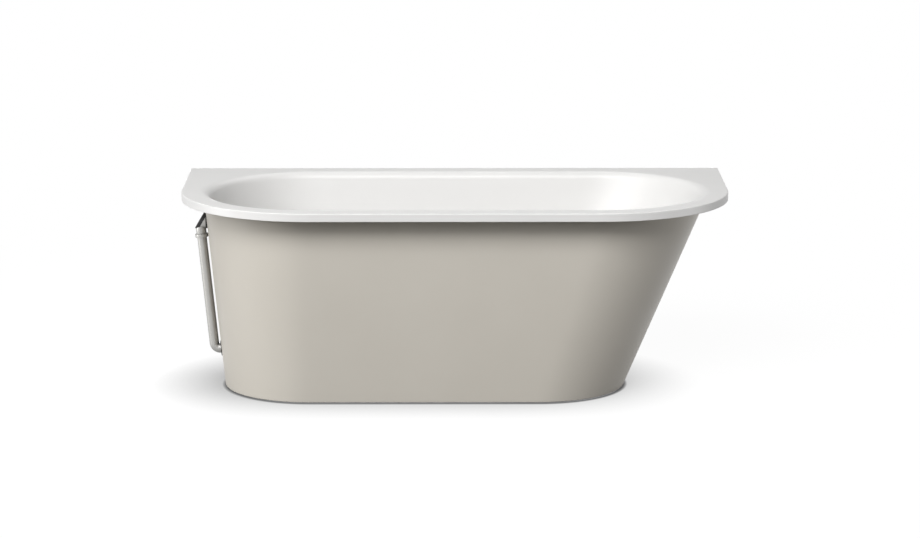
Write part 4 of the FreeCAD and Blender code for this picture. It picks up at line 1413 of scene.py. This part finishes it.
@dataclass
class Overflow(Assembly):
    """The overflow on the drain end: housing, collar, bent pipe, rosette and their small parts."""

    shells: Shells
    pipe_radius: float = 0.014
    pipe_gap: float = 0.0065
    pipe_bend_radius: float = 0.0175
    pipe_bend_steps: int = 24
    pipe_sides: int = 64
    nozzle_length: float = 0.043
    waste_bowl_radius: float = 0.032
    edges: dict[str, Edge] = field(default_factory=lambda: {
        "overflow_housing": Edge(Slot.CHROME, 0.0012, 3),
        "overflow_cap": Edge(Slot.BLACK, 0.0012, 3),
        "overflow_collar": Edge(Slot.CHROME, 0.00192, 4),
        "overflow_rosette": Edge(Slot.CHROME, 0.0004),
        "overflow_screw": Edge(Slot.CHROME, 0.0008, 3),
        "overflow_gasket": Edge(Slot.RUBBER, 0.0001),
        "overflow_spacer": Edge(Slot.RUBBER, 0.0004),
        "overflow_ferrule": Edge(Slot.RUBBER, 0.0004),
        "skirt_grommet": Edge(Slot.RUBBER, 0.0006),
        "tee_nut": Edge(Slot.BLACK, 0.0009),
        "tee_seal": Edge(Slot.RUBBER, 0.0004),
    })

    def pipe(self) -> None:
        """Builds the bent pipe, which follows the skirt down from the nozzle and then runs to the waste."""
        shells, skirt = self.shells, self.shells.skirt
        tilt = math.atan2(shells.skirt_lean_drain, skirt.high_z - skirt.low_z)
        down = Vector((math.sin(tilt), 0.0, -math.cos(tilt)))

        def axis(z: float) -> Vector:
            """Gives the point of the pipe's sloped axis at a height."""
            return Vector((-(skirt.at(z).drain + self.pipe_gap + self.pipe_radius / math.cos(tilt)), 0.0, z))

        points = [
            axis(shells.overflow_z) + down * self.nozzle_length,
            axis(shells.pipe_low_height),
            Vector((shells.drain_x - self.waste_bowl_radius, 0.0, shells.pipe_low_height)),
        ]
        piece = new_piece("overflow_pipe.finished", points, [])
        piece.data.edges.add(2)
        piece.data.edges.foreach_set("vertices", (0, 1, 1, 2))
        piece.data.update()
        sweep_tree().run(piece, {
            "Tube Radius": self.pipe_radius, "Bend Radius": self.pipe_bend_radius,
            "Bend Steps": self.pipe_bend_steps, "Sides": self.pipe_sides,
            "Material": self.paint.by_slot[Slot.CHROME],
        })
        smooth(piece, SOLID_SMOOTH_ANGLE)
        settle(piece, Slot.CHROME, ["overflow_pipe"])

    def build(self) -> None:
        """Builds and dresses every piece of the overflow."""
        self.pipe()
        self.copies(self.edges)


@dataclass
class Waste(Assembly):
    """The drain fitting, its press plug and the trap below."""

    edges: dict[str, Edge] = field(default_factory=lambda: {
        "waste_flange": Edge(Slot.CHROME, 0.0004),
        "plug_cap": Edge(Slot.CHROME, 0.0012, 4),
        "plug_seal": Edge(Slot.RUBBER, 0.0006),
        "plug_stem": Edge(Slot.CHROME, 0.0006),
        "waste_gasket_top": Edge(Slot.RUBBER, 0.0003),
        "waste_gasket_bottom": Edge(Slot.RUBBER, 0.0006),
        "waste_body": Edge(Slot.WHITE, 0.0006),
        "trap_head": Edge(Slot.WHITE, 0.0006),
        "trap_cup": Edge(Slot.WHITE, 0.0006),
        "trap_ring": Edge(Slot.BLACK, 0.0009),
        "trap_nut": Edge(Slot.BLACK, 0.0009),
        "trap_seal": Edge(Slot.RUBBER, 0.0004),
    })

    def build(self) -> None:
        """Dresses every piece of the waste."""
        self.copies(self.edges)


@dataclass
class Frame(Assembly):
    """The board, channels, blocks, battens, brackets and screws that carry the shells."""

    edge: float = 0.0005
    channels: tuple[str, ...] = (
        "rail_front", "rail_rear", "tie_drain", "tie_head", "wall_bracket_1", "wall_bracket_2")

    def build(self) -> None:
        """Builds and dresses every piece of the frame."""
        board, wood, steel = (Edge(slot, self.edge) for slot in (Slot.CHIPBOARD, Slot.PLYWOOD, Slot.ZINC))
        self.copies({"floor_board": board, "rim_batten_front": wood, "rim_batten_rear": wood})
        self.copies({node: steel for node in self.channels})
        for number in CORNERS:
            self.copies({f"arm_{number}": steel, f"skirt_block_{number}": wood})
        for carrier in ("board", "block", "bracket"):
            self.fasten(f"{carrier}_screws", Screw())


@dataclass
class Feet(Assembly):
    """Four levelling feet with threaded studs and lock nuts."""

    pad_edge: float = 0.0008
    stud_radius: float = 0.006
    thread_groove: float = 0.00107
    thread_pitch: float = 0.00175
    thread_sides: int = 24
    turn_rings: int = 8

    def stud(self, node: str) -> None:
        """Builds a threaded stud in place of a node.

        Args:
            node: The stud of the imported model.
        """
        low, high = (Vector(corner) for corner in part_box(node))
        length = high.z - low.z
        seat = Vector(((low.x + high.x) / 2.0, (low.y + high.y) / 2.0, low.z))
        piece = new_piece(f"{node}.finished", [seat], [])
        rod_tree().run(piece, {
            "Radius": self.stud_radius, "Groove": self.thread_groove, "Pitch": self.thread_pitch,
            "Length": length, "Sides": self.thread_sides,
            "Rings": round(length / self.thread_pitch * self.turn_rings),
            "Material": self.paint.by_slot[Slot.ZINC],
        })
        smooth(piece)
        settle(piece, Slot.ZINC, [node])

    def build(self) -> None:
        """Builds and dresses every foot and nut."""
        for number in CORNERS:
            self.copy(f"foot_pad_{number}", Edge(Slot.BLACK, self.pad_edge))
            self.stud(f"foot_stud_{number}")
        for side in ("lower", "upper"):
            self.fasten(f"foot_nuts_{side}", Nut())


@dataclass(frozen=True)
class Lamp:
    """A soft lamp that shines at the bathtub.

    Its turn is in degrees from straight in front, positive to the left, and its rise in degrees above the
    aim. Its level is a share of the light at which a colour renders as it is written.
    """

    name: str
    turn: float
    rise: float
    distance: float
    size: tuple[float, float]
    level: float

    def build(self, aim: Vector) -> None:
        """Adds the lamp.

        Args:
            aim: The point that it shines at.
        """
        light = bpy.data.lights.new(self.name, "AREA")
        light.shape = "RECTANGLE"
        light.size, light.size_y = self.size
        light.energy = self.level * math.pi ** 2 * self.distance ** 2
        turn, rise = math.radians(self.turn), math.radians(self.rise)
        reach = math.cos(rise)
        away = Vector((-reach * math.sin(turn), -reach * math.cos(turn), math.sin(rise)))
        lamp = linked(self.name, light)
        lamp.location = aim + away * self.distance
        lamp.rotation_euler = away.to_track_quat("Z", "Y").to_euler()
        lamp.visible_camera = False


@dataclass
class Studio:
    """White floor and surroundings, soft lamps and the camera."""

    lens: float = 125.42
    sensor: float = 36.0
    clip_end: float = 200.0
    camera_place: Triple = (-0.0253, -9.2314, 2.2578)
    camera_turn: Triple = (math.radians(90.0 - 11.714), 0.0, math.radians(-0.2504))
    aim: Triple = (0.0, 0.0, 0.3)
    floor_reach: float = 40.0
    floor_tone: float = 0.08
    floor_lift: float = 0.95
    contact_reach: float = 0.22
    contact_depth: float = 0.85
    contact_way: Triple = (0.38, -0.25, 0.9)
    line_reach: float = 0.012
    line_depth: float = 2.5
    shade_samples: int = 16
    shadow_reach: tuple[float, float] = (1.5, 2.6)
    world_light: float = 0.06
    lamps: tuple[Lamp, ...] = (
        Lamp("key lamp", 40.0, 32.0, 14.0, (10.3, 10.3), 0.645),
        Lamp("front lamp", 4.0, 43.0, 5.0, (3.0, 2.0), 0.57),
        Lamp("left lamp", 84.0, 1.0, 4.6, (1.6, 0.6), 0.26),
        Lamp("right lamp", -85.0, 1.0, 4.6, (2.0, 0.6), 0.2),
        Lamp("rear lamp", 185.0, 55.0, 4.6, (3.0, 2.4), 0.15),
        Lamp("back lamp", 178.0, 1.0, 4.6, (2.6, 0.6), 0.34),
    )

    def floor(self) -> None:
        """Adds the pale floor, which keeps the bathtub's shadow and is white away from it."""
        far = self.floor_reach
        corners = [Vector((x, y, 0.0)) for x, y in ((-far, -far), (far, -far), (far, far), (-far, far))]
        floor = new_piece("studio_floor", corners, [[0, 1, 2, 3]])
        material, tree = new_material("studio floor")
        seen = self.seen(tree)
        way = tree.add("ShaderNodeCombineXYZ", dict(enumerate(self.contact_way)))
        contact = tree.add(
            "ShaderNodeAmbientOcclusion", {"Distance": self.contact_reach, "Normal": way.outputs["Vector"]},
            samples=self.shade_samples)
        line = tree.add(
            "ShaderNodeAmbientOcclusion", {"Distance": self.line_reach}, samples=self.shade_samples)
        shade = tree.calc(
            "MULTIPLY", tree.calc("POWER", contact.outputs["AO"], self.contact_depth),
            tree.calc("POWER", line.outputs["AO"], self.line_depth))
        glow = tree.add("ShaderNodeEmission", {
            "Color": (self.floor_lift, self.floor_lift, self.floor_lift, 1.0),
            "Strength": tree.calc("MULTIPLY", shade, seen)})
        diffuse = tree.add("ShaderNodeBsdfDiffuse", {
            "Color": (self.floor_tone, self.floor_tone, self.floor_tone, 1.0)})
        near = tree.add("ShaderNodeAddShader", {0: diffuse.outputs["BSDF"], 1: glow.outputs["Emission"]})
        white = tree.add("ShaderNodeEmission", {"Strength": seen})
        away = tree.add("ShaderNodeVectorMath", {0: tree.place()}, operation="LENGTH")
        start, end = self.shadow_reach
        fade = tree.add(
            "ShaderNodeMapRange", {"Value": away.outputs["Value"], "From Min": start, "From Max": end},
            interpolation_type="SMOOTHSTEP")
        blend = tree.add("ShaderNodeMixShader", {
            "Fac": fade.outputs["Result"], 1: near.outputs["Shader"], 2: white.outputs["Emission"]})
        tree.add("ShaderNodeOutputMaterial", {"Surface": blend.outputs["Shader"]})
        floor.data.materials.append(material)

    @staticmethod
    def seen(tree: Tree) -> Socket:
        """Adds the test for what the camera sees, straight or by reflection.

        Args:
            tree: The tree to add it to.

        Returns:
            A socket that is 1 for such rays and 0 for the rest.
        """
        path = tree.add("ShaderNodeLightPath").outputs
        mirrored = tree.calc("MAXIMUM", path["Is Camera Ray"], path["Is Glossy Ray"])
        return tree.calc("MAXIMUM", mirrored, path["Is Transmission Ray"])

    def world(self) -> None:
        """Sets white surroundings that give only a weak fill light."""
        world = bpy.data.worlds.new("studio")
        bpy.context.scene.world = world
        world.use_nodes = True
        tree = Tree(world.node_tree)
        level = tree.add("ShaderNodeMapRange", {
            "Value": self.seen(tree), "To Min": self.world_light, "To Max": 1.0})
        back = tree.add("ShaderNodeBackground", {"Strength": level.outputs["Result"]})
        tree.add("ShaderNodeOutputWorld", {"Surface": back.outputs["Background"]})

    def camera(self) -> None:
        """Adds the camera at the photograph's viewing angle."""
        data = bpy.data.cameras.new("camera")
        data.lens = self.lens
        data.sensor_width = self.sensor
        data.sensor_fit = "HORIZONTAL"
        data.clip_end = self.clip_end
        camera = linked("camera", data)
        camera.location = self.camera_place
        camera.rotation_euler = self.camera_turn
        bpy.context.scene.camera = camera

    def build(self) -> None:
        """Sets up floor, surroundings, lamps and camera."""
        bpy.context.scene.view_settings.view_transform = "Standard"
        self.floor()
        self.world()
        for lamp in self.lamps:
            lamp.build(Vector(self.aim))
        self.camera()


def main() -> None:
    """Builds every sub-assembly and the studio, and reports them."""
    logging.basicConfig(level=logging.INFO, format="%(name)s: %(message)s")
    paint = Paint()
    shells = Shells(paint)
    for assembly in (shells, Overflow(paint, shells), Waste(paint), Frame(paint), Feet(paint), Studio()):
        assembly.build()


if __name__ == "__main__":
    main()
